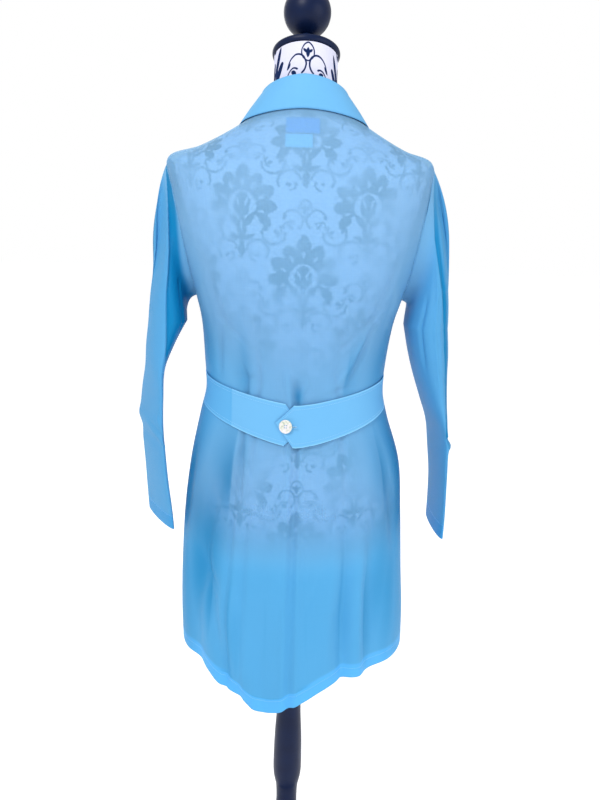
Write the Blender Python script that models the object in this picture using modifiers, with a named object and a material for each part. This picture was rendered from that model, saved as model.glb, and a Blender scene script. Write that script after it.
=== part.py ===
"""A sheer nurse uniform dress on a limbless dress form.

Metres, +Z up. The wearer would face -Y, so the back of the dress faces +Y and
its left side is at +X. The origin is on the floor, on the axis of the pole.

The dress body and the form are both rings round the pole: a ring has its own
height at the centre back, the sides and the centre front, so the top rings
drape over the shoulders like a dome and the lower ones lie level. A place on
the dress is an angle round the body and a level, which is a place between two
rings of the table. Panels are cut from that one surface, and what lies on a
panel is made from the same points, moved out.
"""
import math
from collections import namedtuple

import bmesh
import bpy
from mathutils import Matrix, Vector

# Walls and gaps
CLOTH = 0.0012
BELT_CLOTH = 0.0016
LABEL_CLOTH = 0.0008
REST_GAP = 0.0003
SEAM_GAP = 0.0005
FACE_GAP = 0.0009
WRAP_GAP = 0.0012
CORNER_CUT = 0.3
ROW_SPACING = 0.031
BACK_COLUMNS = 18
FRONT_COLUMNS = 10
EDGE_COLUMN = 0.03

# Rings of the dress, neck to hem: heights at the back, side and front, reach to
# the left, right, back and front, squareness (2 is an ellipse), and how far the
# ring tilts up at the back
Ring = namedtuple("Ring", "back_z side_z front_z left right back front square tilt",
                  defaults=(0.0,))
NECKLINE, SHOULDER_POINT, ARMPIT, WAIST = 0, 3, 7, 10
DRESS_RINGS = (
    Ring(1.352, 1.344, 1.300, 0.070, 0.070, 0.058, 0.062, 2.0),
    Ring(1.319, 1.318, 1.262, 0.111, 0.110, 0.079, 0.082, 2.1),
    Ring(1.280, 1.294, 1.225, 0.158, 0.154, 0.100, 0.094, 2.2),
    Ring(1.240, 1.277, 1.190, 0.205, 0.196, 0.116, 0.101, 2.3),
    Ring(1.200, 1.232, 1.155, 0.201, 0.196, 0.127, 0.107, 2.3),
    Ring(1.150, 1.168, 1.120, 0.188, 0.186, 0.134, 0.113, 2.3),
    Ring(1.100, 1.108, 1.088, 0.173, 0.172, 0.135, 0.117, 2.3),
    Ring(1.068, 1.070, 1.064, 0.163, 0.161, 0.132, 0.116, 2.3),
    Ring(1.030, 1.030, 1.030, 0.155, 0.150, 0.126, 0.113, 2.2),
    Ring(0.970, 0.970, 0.970, 0.151, 0.142, 0.114, 0.106, 2.1),
    Ring(0.925, 0.925, 0.925, 0.149, 0.140, 0.109, 0.102, 2.1),
    Ring(0.880, 0.880, 0.880, 0.159, 0.150, 0.114, 0.106, 2.1),
    Ring(0.806, 0.806, 0.806, 0.174, 0.173, 0.129, 0.121, 2.2),
    Ring(0.718, 0.718, 0.718, 0.185, 0.181, 0.138, 0.135, 2.2),
    Ring(0.614, 0.615, 0.613, 0.191, 0.188, 0.147, 0.147, 2.1),
    Ring(0.540, 0.540, 0.535, 0.193, 0.194, 0.154, 0.155, 1.95),
    Ring(0.474, 0.474, 0.462, 0.192, 0.196, 0.160, 0.162, 1.85),
)
# The back hem dips like a shirt tail: angle of its lowest point and half width
# in degrees, its drop, and the level where it begins
TAIL_ANGLE, TAIL_WIDTH, TAIL_DROP, TAIL_LEVEL = 15.0, 27.0, 0.053, 14.0

# Rings of the form, under the dress and clear of it, neck to underside
FORM_RINGS = (
    Ring(1.421, 1.421, 1.421, 0.0475, 0.0475, 0.0475, 0.0475, 2.0, 0.013),
    Ring(1.388, 1.388, 1.388, 0.0475, 0.0475, 0.0465, 0.0475, 2.0, 0.010),
    Ring(1.361, 1.358, 1.345, 0.0510, 0.0510, 0.0465, 0.0490, 2.0, 0.006),
    Ring(1.345, 1.338, 1.298, 0.0640, 0.0640, 0.0510, 0.0540, 2.0),
    Ring(1.314, 1.3155, 1.260, 0.1100, 0.1080, 0.0740, 0.0760, 2.1),
    Ring(1.276, 1.2925, 1.224, 0.1550, 0.1520, 0.0950, 0.0890, 2.2),
    Ring(1.238, 1.2720, 1.190, 0.1940, 0.1900, 0.1110, 0.0960, 2.3),
    Ring(1.199, 1.224, 1.155, 0.1860, 0.1830, 0.1220, 0.1015, 2.3),
    Ring(1.150, 1.160, 1.120, 0.1690, 0.1670, 0.1290, 0.1075, 2.3),
    Ring(1.098, 1.100, 1.088, 0.1540, 0.1530, 0.1290, 0.1110, 2.3),
    Ring(1.062, 1.062, 1.062, 0.1460, 0.1450, 0.1240, 0.1090, 2.2),
    Ring(1.020, 1.020, 1.020, 0.1350, 0.1330, 0.1130, 0.1030, 2.1),
    Ring(0.970, 0.970, 0.970, 0.1220, 0.1200, 0.0990, 0.0920, 2.0),
    Ring(0.925, 0.925, 0.925, 0.1170, 0.1150, 0.0920, 0.0870, 2.0),
    Ring(0.880, 0.880, 0.880, 0.1260, 0.1240, 0.0990, 0.0910, 2.0),
    Ring(0.806, 0.806, 0.806, 0.1520, 0.1510, 0.1180, 0.1040, 2.1),
    Ring(0.735, 0.735, 0.735, 0.1690, 0.1680, 0.1300, 0.1150, 2.2),
    Ring(0.690, 0.690, 0.690, 0.1680, 0.1670, 0.1280, 0.1130, 2.2),
    Ring(0.665, 0.665, 0.665, 0.1520, 0.1510, 0.1130, 0.1000, 2.2),
    Ring(0.657, 0.657, 0.657, 0.1280, 0.1270, 0.0920, 0.0800, 2.1),
)
FORM_COLUMNS = 28

# How far the armhole cuts back from the side line, in degrees
ARMHOLE_BACK = 12.0
ARMHOLE_FRONT = 22.0

# Soft folds of the dress body: angle from the centre back and half width in
# degrees, depth (inwards is negative), and the heights where a fold fades out
Fold = namedtuple("Fold", "angle width depth top bottom")
DRESS_FOLDS = (
    Fold(38, 7, -0.0040, 1.010, 0.930),
    Fold(44, 6, -0.0055, 0.860, 0.640),
    Fold(62, 7, -0.0080, 0.700, 0.300),
    Fold(40, 8, 0.0060, 0.640, 0.300),
    Fold(18, 9, -0.0050, 0.620, 0.300),
    Fold(-8, 8, 0.0040, 0.600, 0.300),
    Fold(-30, 7, -0.0060, 0.660, 0.300),
    Fold(-53, 9, -0.0090, 0.680, 0.300),
    Fold(112, 8, -0.0080, 0.740, 0.300),
    Fold(138, 9, 0.0060, 0.700, 0.300),
    Fold(-114, 8, -0.0080, 0.720, 0.300),
    Fold(-140, 9, 0.0060, 0.680, 0.300),
    Fold(128, 7, -0.0050, 1.050, 0.860),
    Fold(-128, 7, -0.0050, 1.050, 0.860),
)

# Sleeve sections, biceps to hem: height, distance of the centre from the pole
# axis to the side and to the back, half thickness, half width flat, and turn in
# degrees (anticlockwise from above)
Section = namedtuple("Section", "z out back thick flat turn")
SLEEVE_LEFT = (
    Section(1.030, 0.2120, 0.000, 0.0300, 0.070, 15),
    Section(0.995, 0.2230, 0.000, 0.0200, 0.071, 17),
    Section(0.955, 0.2335, -0.001, 0.0115, 0.071, 19),
    Section(0.910, 0.2400, -0.002, 0.0095, 0.069, 24),
    Section(0.865, 0.2425, -0.002, 0.0095, 0.067, 26),
    Section(0.820, 0.2400, -0.002, 0.0090, 0.064, 27),
    Section(0.770, 0.2360, -0.001, 0.0085, 0.062, 28),
    Section(0.725, 0.2320, 0.000, 0.0080, 0.061, 30),
    Section(0.688, 0.2290, 0.001, 0.0075, 0.060, 31),
)
SLEEVE_RIGHT = (
    Section(1.030, 0.2040, 0.000, 0.0340, 0.070, 0),
    Section(0.990, 0.2100, 0.000, 0.0310, 0.070, 1),
    Section(0.950, 0.2160, 0.000, 0.0250, 0.070, 2),
    Section(0.905, 0.2250, -0.001, 0.0170, 0.069, 3),
    Section(0.860, 0.2350, -0.002, 0.0095, 0.067, 4),
    Section(0.815, 0.2390, -0.002, 0.0080, 0.065, 3),
    Section(0.770, 0.2420, -0.001, 0.0070, 0.062, 2),
    Section(0.725, 0.2430, 0.000, 0.0070, 0.060, 2),
    Section(0.687, 0.2425, 0.001, 0.0070, 0.059, 2),
)
# How a sleeve cap leaves the armhole, by its reach and its share of the way, and
# how long it falls straight before the first section
Cap = namedtuple("Cap", "reach start_share end_share")
CAP_LEFT = Cap(0.013, 0.13, 0.36)
CAP_RIGHT = Cap(0.014, 0.18, 0.45)
SLEEVE_CAP_ROWS = (0.0, 0.06, 0.16, 0.30, 0.46, 0.64, 0.82)
ROWS_PER_SECTION = 2
SLEEVE_START_GAP = 0.0005

# Collar: by angle from the centre back in degrees, the height of the stand, how
# far it leans in, the level of the outer edge, and how far that lies off the dress
CollarPlace = namedtuple("CollarPlace", "angle stand inward edge_level lift")
COLLAR_PLACES = (
    CollarPlace(0, 0.0320, 0.0040, 0.42, 0.0045),
    CollarPlace(45, 0.0285, 0.0080, 0.50, 0.0045),
    CollarPlace(90, 0.0230, 0.0120, 0.70, 0.0045),
    CollarPlace(130, 0.0200, 0.0070, 1.20, 0.0045),
    CollarPlace(160, 0.0150, 0.0020, 1.72, 0.0045),
    CollarPlace(178, 0.0120, 0.0010, 1.80, 0.0050),
)
COLLAR_COLUMNS = 24
COLLAR_END = 177.0
COLLAR_SPREAD = 12.0
COLLAR_FOLD_RADIUS = 0.0035
COLLAR_BOW = 0.0015
COLLAR_FOLD_TURNS = (50, 90, 130)
COLLAR_FALL_SHARES = (0.0, 0.25, 0.5, 0.75, 1.0)
COLLAR_SPREAD_START = 0.55

# Belt: height of each edge at the centre back and at the side seams, how far each
# half lies off the dress, how far its end reaches past the centre, the depth of
# its point, and the angles between which the upper half rises over the lower
BELT_TOP_BACK, BELT_TOP_SIDE = 0.918, 0.956
BELT_LOW_BACK, BELT_LOW_SIDE = 0.854, 0.911
BELT_SIDE_ANGLE = 88.0
BELT_LIFT = 0.0016
BELT_OVERLAP_LIFT = 0.0024
BELT_LEFT_END = -0.010
BELT_RIGHT_END = 0.031
BELT_POINT = 0.026
BELT_RISE = (-30.0, -14.0)
BELT_COLUMNS, BELT_ROWS = 13, 4
BELT_BUTTON_X, BELT_BUTTON_Z = 0.013, 0.886

# The fronts overlap: how far each passes the centre front, and the angles between
# which the left one sinks under the right one, in degrees
FRONT_WRAP = 8.0
WRAP_SINK = (165.0, 169.9)

# Buttons: turned discs with a raised rim
BUTTON_RADIUS, BUTTON_HEIGHT = 0.0095, 0.0030
BELT_BUTTON_RADIUS = 0.0105
FRONT_BUTTON_HEIGHTS = (1.235, 1.120, 1.000, 0.880, 0.760, 0.640)

# Neck labels, inside the back: left and right reach, and heights of the edges
Label = namedtuple("Label", "name right left top bottom")
LABELS = (
    Label("label_upper", -0.023, 0.026, 1.3300, 1.3070),
    Label("label_lower", -0.013, 0.026, 1.3055, 1.2860),
)

# Turned wood: radius and height pairs, from the top down
CAP_PROFILE = (
    (0.0000, 0.0300), (0.0100, 0.0300), (0.0125, 0.0240), (0.0160, 0.0170),
    (0.0260, 0.0105), (0.0400, 0.0070), (0.0495, 0.0050), (0.0510, 0.0000),
    (0.0485, -0.0060), (0.0000, -0.0060),
)
FINIAL_RADIUS = 0.0355
FINIAL_FOOT = 0.0085
POLE_PROFILE = (
    (0.0000, 0.6565), (0.0170, 0.6565), (0.0170, 0.600), (0.0180, 0.560), (0.0180, 0.440),
    (0.0200, 0.400), (0.0215, 0.350), (0.0220, 0.310), (0.0250, 0.262), (0.0262, 0.215),
    (0.0262, 0.182), (0.0235, 0.166), (0.0200, 0.152), (0.0190, 0.118), (0.0205, 0.095),
    (0.0250, 0.075), (0.0270, 0.060), (0.0270, 0.0453), (0.0000, 0.0453),
)
BASE_PROFILE = (
    (0.0000, 0.045), (0.0380, 0.045), (0.0430, 0.041), (0.0460, 0.035), (0.0680, 0.031),
    (0.0900, 0.025), (0.1000, 0.019), (0.1050, 0.012), (0.1050, 0.004), (0.1020, 0.000),
    (0.0000, 0.000),
)
TURN_STEPS = 24
BASE_STEPS = 36
BUTTON_STEPS = 12


def catmull(a, b, c, d, t):
    """A smooth value between b and c, shaped by their neighbours."""
    return 0.5 * (2 * b + (c - a) * t + (2 * a - 5 * b + 4 * c - d) * t * t
                  + (3 * b - a - 3 * c + d) * t ** 3)


def row_at(table, place):
    """The row of a table at a place between its rows, each column on a smooth curve."""
    last = len(table) - 1
    place = min(max(place, 0.0), float(last))
    i = min(int(place), last - 1)
    before, after = table[max(i - 1, 0)], table[min(i + 2, last)]
    columns = zip(before, table[i], table[i + 1], after)
    return type(table[0])(*(catmull(*values, place - i) for values in columns))


def ramp(value, start, end):
    """0 before start, 1 after end, and smooth between them."""
    t = min(max((value - start) / (end - start), 0.0), 1.0)
    return t * t * (3 - 2 * t)


def ring_point(ring, angle):
    """A point of a ring; angle 0 is the centre back, 90 degrees the left side."""
    across, along = math.sin(angle), math.cos(angle)
    width = ring.left if across > 0 else ring.right
    depth = ring.back if along > 0 else ring.front
    power = ring.square
    reach = (abs(across / width) ** power + abs(along / depth) ** power) ** (-1 / power)
    x, y = reach * across, reach * along
    middle_z = ring.back_z if along > 0 else ring.front_z
    z = ring.side_z + (middle_z - ring.side_z) * (1 - (x / width) ** 2)
    return Vector((x, y, z + ring.tilt * y / depth))


def dress_point(angle, level, folded=True):
    """A point of the dress body's outer face, with its folds or as if pulled smooth."""
    point = ring_point(row_at(DRESS_RINGS, level), angle)
    dip = math.exp(-((math.degrees(angle) - TAIL_ANGLE) / TAIL_WIDTH) ** 2)
    point.z -= TAIL_DROP * dip * ramp(level, TAIL_LEVEL, len(DRESS_RINGS) - 1)
    if not folded:
        return point
    push = 0.0
    for fold in DRESS_FOLDS:
        turn = (math.degrees(angle) - fold.angle + 180) % 360 - 180
        fade = 1 - ramp(point.z, fold.top - 0.08, fold.top)
        fade *= ramp(point.z, fold.bottom, fold.bottom + 0.08)
        push += fold.depth * fade * math.exp(-(turn / fold.width) ** 2)
    return point + Vector((point.x, point.y, 0)).normalized() * push


def dress_normal(angle, level, folded=True):
    """The way out from the dress body."""
    step = 0.002
    around = (dress_point(angle + step, level, folded)
              - dress_point(angle - step, level, folded))
    low, high = max(level - step, 0), min(level + step, len(DRESS_RINGS) - 1)
    down = dress_point(angle, high, folded) - dress_point(angle, low, folded)
    return around.cross(down).normalized()


def off_dress(angle, level, lift, folded=True):
    """A point moved out from the dress body, or in where the lift is negative."""
    return dress_point(angle, level, folded) + dress_normal(angle, level, folded) * lift


def level_at(height, angle):
    """The level where the dress body has a height, at an angle."""
    low, high = 0.0, float(len(DRESS_RINGS) - 1)
    for _ in range(40):
        middle = (low + high) / 2
        if ring_point(row_at(DRESS_RINGS, middle), angle).z > height:
            low = middle
        else:
            high = middle
    return (low + high) / 2


def angle_at(x, level, front=False):
    """The angle where the dress body reaches a distance to the side, at a level."""
    low, high = 0.0, math.pi / 2
    for _ in range(40):
        middle = (low + high) / 2
        place = math.pi - middle if front else middle
        if abs(ring_point(row_at(DRESS_RINGS, level), math.copysign(place, x)).x) < abs(x):
            low = middle
        else:
            high = middle
    return math.copysign(math.pi - low if front else low, x)


def levels_between(first, last):
    """Levels from one ring to another, spaced evenly over the cloth."""
    levels = []
    for ring in range(first, last):
        a = ring_point(DRESS_RINGS[ring], math.radians(45))
        b = ring_point(DRESS_RINGS[ring + 1], math.radians(45))
        steps = max(1, math.ceil((a - b).length / ROW_SPACING))
        levels += [ring + k / steps for k in range(steps)]
    return levels + [last]


def armhole_cut(level, most):
    """How far the armhole cuts back from the side line at a level, in radians."""
    t = (level - SHOULDER_POINT) / (ARMPIT - SHOULDER_POINT)
    if t < 0 or t > 1:
        return 0.0
    return math.radians(most) * max(math.sin(math.pi * t), 0.0) ** 0.55 + math.radians(CORNER_CUT)


def back_edge(level):
    return math.pi / 2 - armhole_cut(level, ARMHOLE_BACK)


def front_edge(level):
    return math.pi / 2 + armhole_cut(level, ARMHOLE_FRONT)


def finish(obj, material, collection):
    """Give an object its material and put it in the object's collection."""
    obj.data.materials.append(material)
    collection.objects.link(obj)
    return obj


def sheet(name, rows, wall, material, collection, closed=False):
    """A cloth wall: an open grid of outer points, top row first, thickened inwards."""
    bm = bmesh.new()
    grid = [[bm.verts.new(point) for point in row] for row in rows]
    columns = len(grid[0])
    for upper, lower in zip(grid, grid[1:]):
        for j in range(columns if closed else columns - 1):
            k = (j + 1) % columns
            bm.faces.new((upper[j], upper[k], lower[k], lower[j]))
    mesh = bpy.data.meshes.new(name)
    bm.to_mesh(mesh)
    bm.free()
    mesh.shade_smooth()
    obj = bpy.data.objects.new(name, mesh)
    thicken = obj.modifiers.new("wall", "SOLIDIFY")
    thicken.thickness = wall
    thicken.offset = -1
    return finish(obj, material, collection)


def turned(name, profile, material, collection, steps=TURN_STEPS):
    """A turned piece: a profile down its outer side at +X, spun round Z."""
    bm = bmesh.new()
    points = [bm.verts.new((radius, 0, z)) for radius, z in profile]
    for a, b in zip(points, points[1:]):
        bm.edges.new((a, b))
    mesh = bpy.data.meshes.new(name)
    bm.to_mesh(mesh)
    bm.free()
    obj = bpy.data.objects.new(name, mesh)
    spin = obj.modifiers.new("turn", "SCREW")
    spin.steps = spin.render_steps = steps
    spin.use_merge_vertices = True
    spin.merge_threshold = 0.00001
    spin.use_smooth_shade = True
    return finish(obj, material, collection)


def finish_material(name, colour, roughness, metallic=0.0):
    material = bpy.data.materials.new(name)
    material.use_nodes = True
    shader = material.node_tree.nodes["Principled BSDF"]
    shader.inputs["Base Color"].default_value = (*colour, 1)
    shader.inputs["Roughness"].default_value = roughness
    shader.inputs["Metallic"].default_value = metallic
    return material


def column_places(count):
    """Places from 0 to 1 across a panel, with a narrow column at each edge."""
    inner = [EDGE_COLUMN + (1 - 2 * EDGE_COLUMN) * k / (count - 2) for k in range(count - 1)]
    return [0.0] + inner + [1.0]


def seam_trim(level, angle):
    """The angle that half a seam gap takes at a place on the dress body."""
    point = dress_point(angle, level)
    return SEAM_GAP / 2 / math.hypot(point.x, point.y)


def make_back(material, collection):
    """The back panel, from its neckline and shoulder seams to the curved hem."""
    rows = []
    for level in levels_between(NECKLINE, len(DRESS_RINGS) - 1):
        edge = back_edge(level)
        trim = seam_trim(level, edge)
        reach = edge - trim
        rows.append([dress_point((2 * u - 1) * reach, level) for u in column_places(BACK_COLUMNS)])
    return sheet("back", rows, CLOTH, material, collection)


def make_front(name, side, material, collection):
    """A front panel; the left one passes under the right one at the centre front."""
    rows = []
    for level in levels_between(NECKLINE, len(DRESS_RINGS) - 1):
        start = front_edge(level)
        start += seam_trim(level, start)
        stop = math.pi + math.radians(FRONT_WRAP)
        row = []
        for u in column_places(FRONT_COLUMNS):
            angle = start + (stop - start) * u
            under = 0.0
            if side > 0:
                under = ramp(math.degrees(angle), *WRAP_SINK)
            row.append(off_dress(side * angle, level, -under * (CLOTH + WRAP_GAP)))
        rows.append(row)
    if side < 0:
        rows = [list(reversed(row)) for row in rows]
    return sheet(name, rows, CLOTH, material, collection)


def armhole_loop(side):
    """Armhole edge points with the way each leaves the body: shoulder, back, armpit, front."""
    levels = levels_between(SHOULDER_POINT, ARMPIT)
    places = [(back_edge(level), level) for level in levels]
    places += [(front_edge(level), level) for level in reversed(levels[1:-1])]
    places[0] = (math.pi / 2, SHOULDER_POINT)
    places[len(levels) - 1] = (math.pi / 2, ARMPIT)
    points = [dress_point(side * angle, level) for angle, level in places]
    loop = []
    for k, (angle, level) in enumerate(places):
        along = points[(k + 1) % len(points)] - points[k - 1]
        out = along.cross(dress_normal(side * angle, level)).normalized() * side
        down_share = 0.5 - 0.5 * math.cos(2 * math.pi * k / len(points))
        sideways = Vector((side, 0, -0.15)).normalized()
        out = (out * (1 - down_share) + sideways * down_share).normalized()
        loop.append((points[k], out))
    return loop


def section_loop(section, side, count):
    """A sleeve section: a flattened ring, from its outer side round by the back."""
    turn = Matrix.Rotation(math.radians(section.turn), 3, "Z")
    centre = Vector((side * section.out, section.back, section.z))
    loop = []
    for k in range(count):
        a = 2 * math.pi * k / count
        offset = Vector((side * section.thick * math.cos(a), section.flat * math.sin(a), 0))
        loop.append(centre + turn @ offset)
    return loop


def make_sleeve(name, side, sections, cap, material, collection):
    """A set-in sleeve: the cap leaves the armhole and falls into the flat, empty sleeve."""
    armhole = armhole_loop(side)
    first = section_loop(sections[0], side, len(armhole))
    rows = []
    for t in SLEEVE_CAP_ROWS:
        row = []
        for (start, out), end in zip(armhole, first):
            start = start + out * SLEEVE_START_GAP
            span = (end - start).length
            leave = start + out * (cap.reach + cap.start_share * span)
            arrive = end + Vector((0, 0, cap.end_share * span))
            s = 1 - t
            row.append(start * s ** 3 + leave * 3 * s * s * t + arrive * 3 * s * t * t + end * t ** 3)
        rows.append(row)
    for k in range((len(sections) - 1) * ROWS_PER_SECTION + 1):
        section = row_at(sections, k / ROWS_PER_SECTION)
        rows.append(section_loop(section, side, len(armhole)))
    if side > 0:
        rows = [list(reversed(row)) for row in rows]
    return sheet(name, rows, CLOTH, material, collection, closed=True)


def collar_place(angle):
    """The collar's sizes at an angle, read between the rows of its table."""
    degrees = min(abs(math.degrees(angle)), COLLAR_PLACES[-1].angle)
    i = max(k for k, place in enumerate(COLLAR_PLACES) if place.angle <= degrees)
    i = min(i, len(COLLAR_PLACES) - 2)
    t = (degrees - COLLAR_PLACES[i].angle) / (COLLAR_PLACES[i + 1].angle - COLLAR_PLACES[i].angle)
    return row_at(COLLAR_PLACES, i + t)


def make_collar(material, collection):
    """The collar: a stand up from the neckline, a fold, and a fall over the shoulders."""
    columns = []
    for k in range(COLLAR_COLUMNS + 1):
        u = 2 * k / COLLAR_COLUMNS - 1
        angle = math.radians(COLLAR_END) * u
        place = collar_place(angle)
        base = dress_point(angle, 0) + Vector((0, 0, FACE_GAP))
        away = Vector((base.x, base.y, 0)).normalized()
        crest = base - away * place.inward + Vector((0, 0, place.stand))
        points = [base, base.lerp(crest, 0.5), crest]
        centre = crest + away * COLLAR_FOLD_RADIUS
        for turn in COLLAR_FOLD_TURNS:
            lean = math.radians(turn)
            points.append(centre - away * math.cos(lean) * COLLAR_FOLD_RADIUS
                          + Vector((0, 0, math.sin(lean) * COLLAR_FOLD_RADIUS)))
        spread = math.radians(COLLAR_SPREAD) * ramp(abs(u), COLLAR_SPREAD_START, 1.0)
        edge = off_dress(angle - math.copysign(spread, angle), place.edge_level, place.lift)
        top = centre + away * COLLAR_FOLD_RADIUS
        for share in COLLAR_FALL_SHARES:
            bow = away * COLLAR_BOW * math.sin(math.pi * share)
            points.append(top.lerp(edge, share) + bow)
        columns.insert(0, points)
    return sheet("collar", zip(*columns), CLOTH, material, collection)


def belt_edges(angle):
    """Heights of the belt's two edges at an angle from the centre back."""
    share = min(abs(angle) / math.radians(BELT_SIDE_ANGLE), 1.0) ** 1.3
    top = BELT_TOP_BACK + (BELT_TOP_SIDE - BELT_TOP_BACK) * share
    low = BELT_LOW_BACK + (BELT_LOW_SIDE - BELT_LOW_BACK) * share
    return top, low


def make_belt(name, side, end_x, over, material, collection):
    """Half of the back belt: from the side seam, past the centre, to a pointed end."""
    rows = [[] for _ in range(BELT_ROWS + 1)]
    seam = math.radians(BELT_SIDE_ANGLE)
    end_level = level_at(BELT_BUTTON_Z, 0)
    tip = abs(angle_at(end_x, end_level)) * math.copysign(1, -side * end_x)
    shoulder = tip - BELT_POINT / DRESS_RINGS[WAIST].back
    for k in range(BELT_COLUMNS + 1):
        for r, row in enumerate(rows):
            v = r / BELT_ROWS
            pointed = tip - (tip - shoulder) * abs(2 * v - 1)
            place = -seam + (pointed + seam) * k / BELT_COLUMNS
            angle = -side * place
            top, low = belt_edges(angle)
            level = level_at(top + (low - top) * v, angle)
            lift = BELT_LIFT + BELT_CLOTH
            lift += over * ramp(math.degrees(place), *BELT_RISE)
            row.append(off_dress(angle, level, lift, folded=False))
    if side > 0:
        rows = [list(reversed(row)) for row in rows]
    return sheet(name, rows, BELT_CLOTH, material, collection)


def button_profile(radius):
    """A button's outline from the middle of its face to the middle of its back."""
    rim = radius * 0.86
    return (
        (0.0, BUTTON_HEIGHT * 0.62), (radius * 0.62, BUTTON_HEIGHT * 0.62),
        (radius * 0.74, BUTTON_HEIGHT * 0.96), (rim, BUTTON_HEIGHT),
        (radius, BUTTON_HEIGHT * 0.62), (radius * 0.97, BUTTON_HEIGHT * 0.25),
        (radius * 0.80, 0.0), (0.0, 0.0),
    )


def place_button(obj, angle, level, lift):
    """Set a button down on the dress body, facing out."""
    normal = dress_normal(angle, level)
    obj.rotation_euler = normal.to_track_quat("Z", "Y").to_euler()
    obj.location = dress_point(angle, level) + normal * lift


def make_label(label, material, collection):
    """A plain neck label on the inside of the back."""
    rows = []
    for r in range(3):
        z = label.top + (label.bottom - label.top) * r / 2
        level = level_at(z, 0)
        first, last = angle_at(label.right, level), angle_at(label.left, level)
        rows.append([off_dress(first + (last - first) * k / 4, level, -CLOTH - FACE_GAP)
                     for k in range(5)])
    return sheet(label.name, rows, LABEL_CLOTH, material, collection)


def make_form(material, collection):
    """The limbless form: a smooth solid loft from the neck to the flat underside."""
    bm = bmesh.new()
    loops = []
    for ring in FORM_RINGS:
        turns = [2 * math.pi * j / FORM_COLUMNS for j in range(FORM_COLUMNS)]
        loops.append([bm.verts.new(ring_point(ring, turn)) for turn in turns])
    for upper, lower in zip(loops, loops[1:]):
        for j in range(FORM_COLUMNS):
            k = (j + 1) % FORM_COLUMNS
            bm.faces.new((upper[j], upper[k], lower[k], lower[j]))
    bm.faces.new(list(reversed(loops[0])))
    bm.faces.new(loops[-1])
    mesh = bpy.data.meshes.new("form_torso")
    bm.to_mesh(mesh)
    bm.free()
    mesh.shade_smooth()
    mesh.set_sharp_from_angle(angle=math.radians(50))
    return finish(bpy.data.objects.new("form_torso", mesh), material, collection)


def make_stand(wood, collection):
    """Neck cap, ball, pole and foot: turned wood on the form's axis."""
    neck = FORM_RINGS[0]
    tilt = math.atan2(neck.tilt, neck.back)
    cap = turned("neck_cap", CAP_PROFILE, wood, collection)
    cap.rotation_euler = (tilt, 0, 0)
    up = Matrix.Rotation(tilt, 3, "X") @ Vector((0, 0, 1))
    lowest = CAP_PROFILE[-1][1]
    cap.location = Vector((0, 0, neck.side_z)) + up * (REST_GAP - lowest)
    half = [math.radians(a) for a in range(0, 181, 12)]
    ball = [(FINIAL_RADIUS * math.sin(a), FINIAL_RADIUS * math.cos(a)) for a in half]
    ball = [(radius, z) for radius, z in ball if radius > FINIAL_FOOT or z > 0]
    flat = -math.sqrt(FINIAL_RADIUS ** 2 - FINIAL_FOOT ** 2)
    ball += [(FINIAL_FOOT, flat), (0.0, flat)]
    finial = turned("finial", ball, wood, collection)
    finial.rotation_euler = (tilt, 0, 0)
    finial.location = cap.location + up * (CAP_PROFILE[0][1] + REST_GAP - flat)
    turned("pole", POLE_PROFILE, wood, collection)
    turned("base", BASE_PROFILE, wood, collection, BASE_STEPS)


def main():
    for obj in list(bpy.data.objects):
        bpy.data.objects.remove(obj, do_unlink=True)
    collection = bpy.data.collections.new("nurse_uniform_dress")
    bpy.context.scene.collection.children.link(collection)

    cloth = finish_material("sheer_cloth", (0.12, 0.42, 0.82), 0.75)
    trim = finish_material("belt_and_collar_cloth", (0.13, 0.50, 0.90), 0.7)
    pearl = finish_material("pearl_button", (0.90, 0.90, 0.86), 0.25)
    tape = finish_material("label_tape", (0.25, 0.50, 0.78), 0.8)
    cover = finish_material("form_cover", (0.85, 0.84, 0.90), 0.85)
    wood = finish_material("black_wood", (0.01, 0.01, 0.012), 0.3)

    make_back(cloth, collection)
    make_front("front_left", 1, cloth, collection)
    make_front("front_right", -1, cloth, collection)
    make_sleeve("sleeve_left", 1, SLEEVE_LEFT, CAP_LEFT, cloth, collection)
    make_sleeve("sleeve_right", -1, SLEEVE_RIGHT, CAP_RIGHT, cloth, collection)
    make_collar(trim, collection)
    make_belt("belt_left", 1, BELT_LEFT_END, 0.0, trim, collection)
    make_belt("belt_right", -1, BELT_RIGHT_END, BELT_OVERLAP_LIFT, trim, collection)

    belt_button = turned("belt_button", button_profile(BELT_BUTTON_RADIUS), pearl,
                         collection, BUTTON_STEPS)
    level = level_at(BELT_BUTTON_Z, 0)
    lift = BELT_LIFT + BELT_CLOTH + BELT_OVERLAP_LIFT + REST_GAP
    place_button(belt_button, angle_at(BELT_BUTTON_X, level), level, lift)
    for number, height in enumerate(FRONT_BUTTON_HEIGHTS, start=1):
        button = turned(f"front_button_{number}", button_profile(BUTTON_RADIUS), pearl,
                        collection, BUTTON_STEPS)
        place_button(button, math.pi, level_at(height, math.pi), REST_GAP)
    for label in LABELS:
        make_label(label, tape, collection)

    make_form(cover, collection)
    make_stand(wood, collection)


main()
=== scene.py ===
import math
from collections import namedtuple

import bmesh
import bpy
import numpy as np
from mathutils import Matrix, Vector
from mathutils.bvhtree import BVHTree


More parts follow.
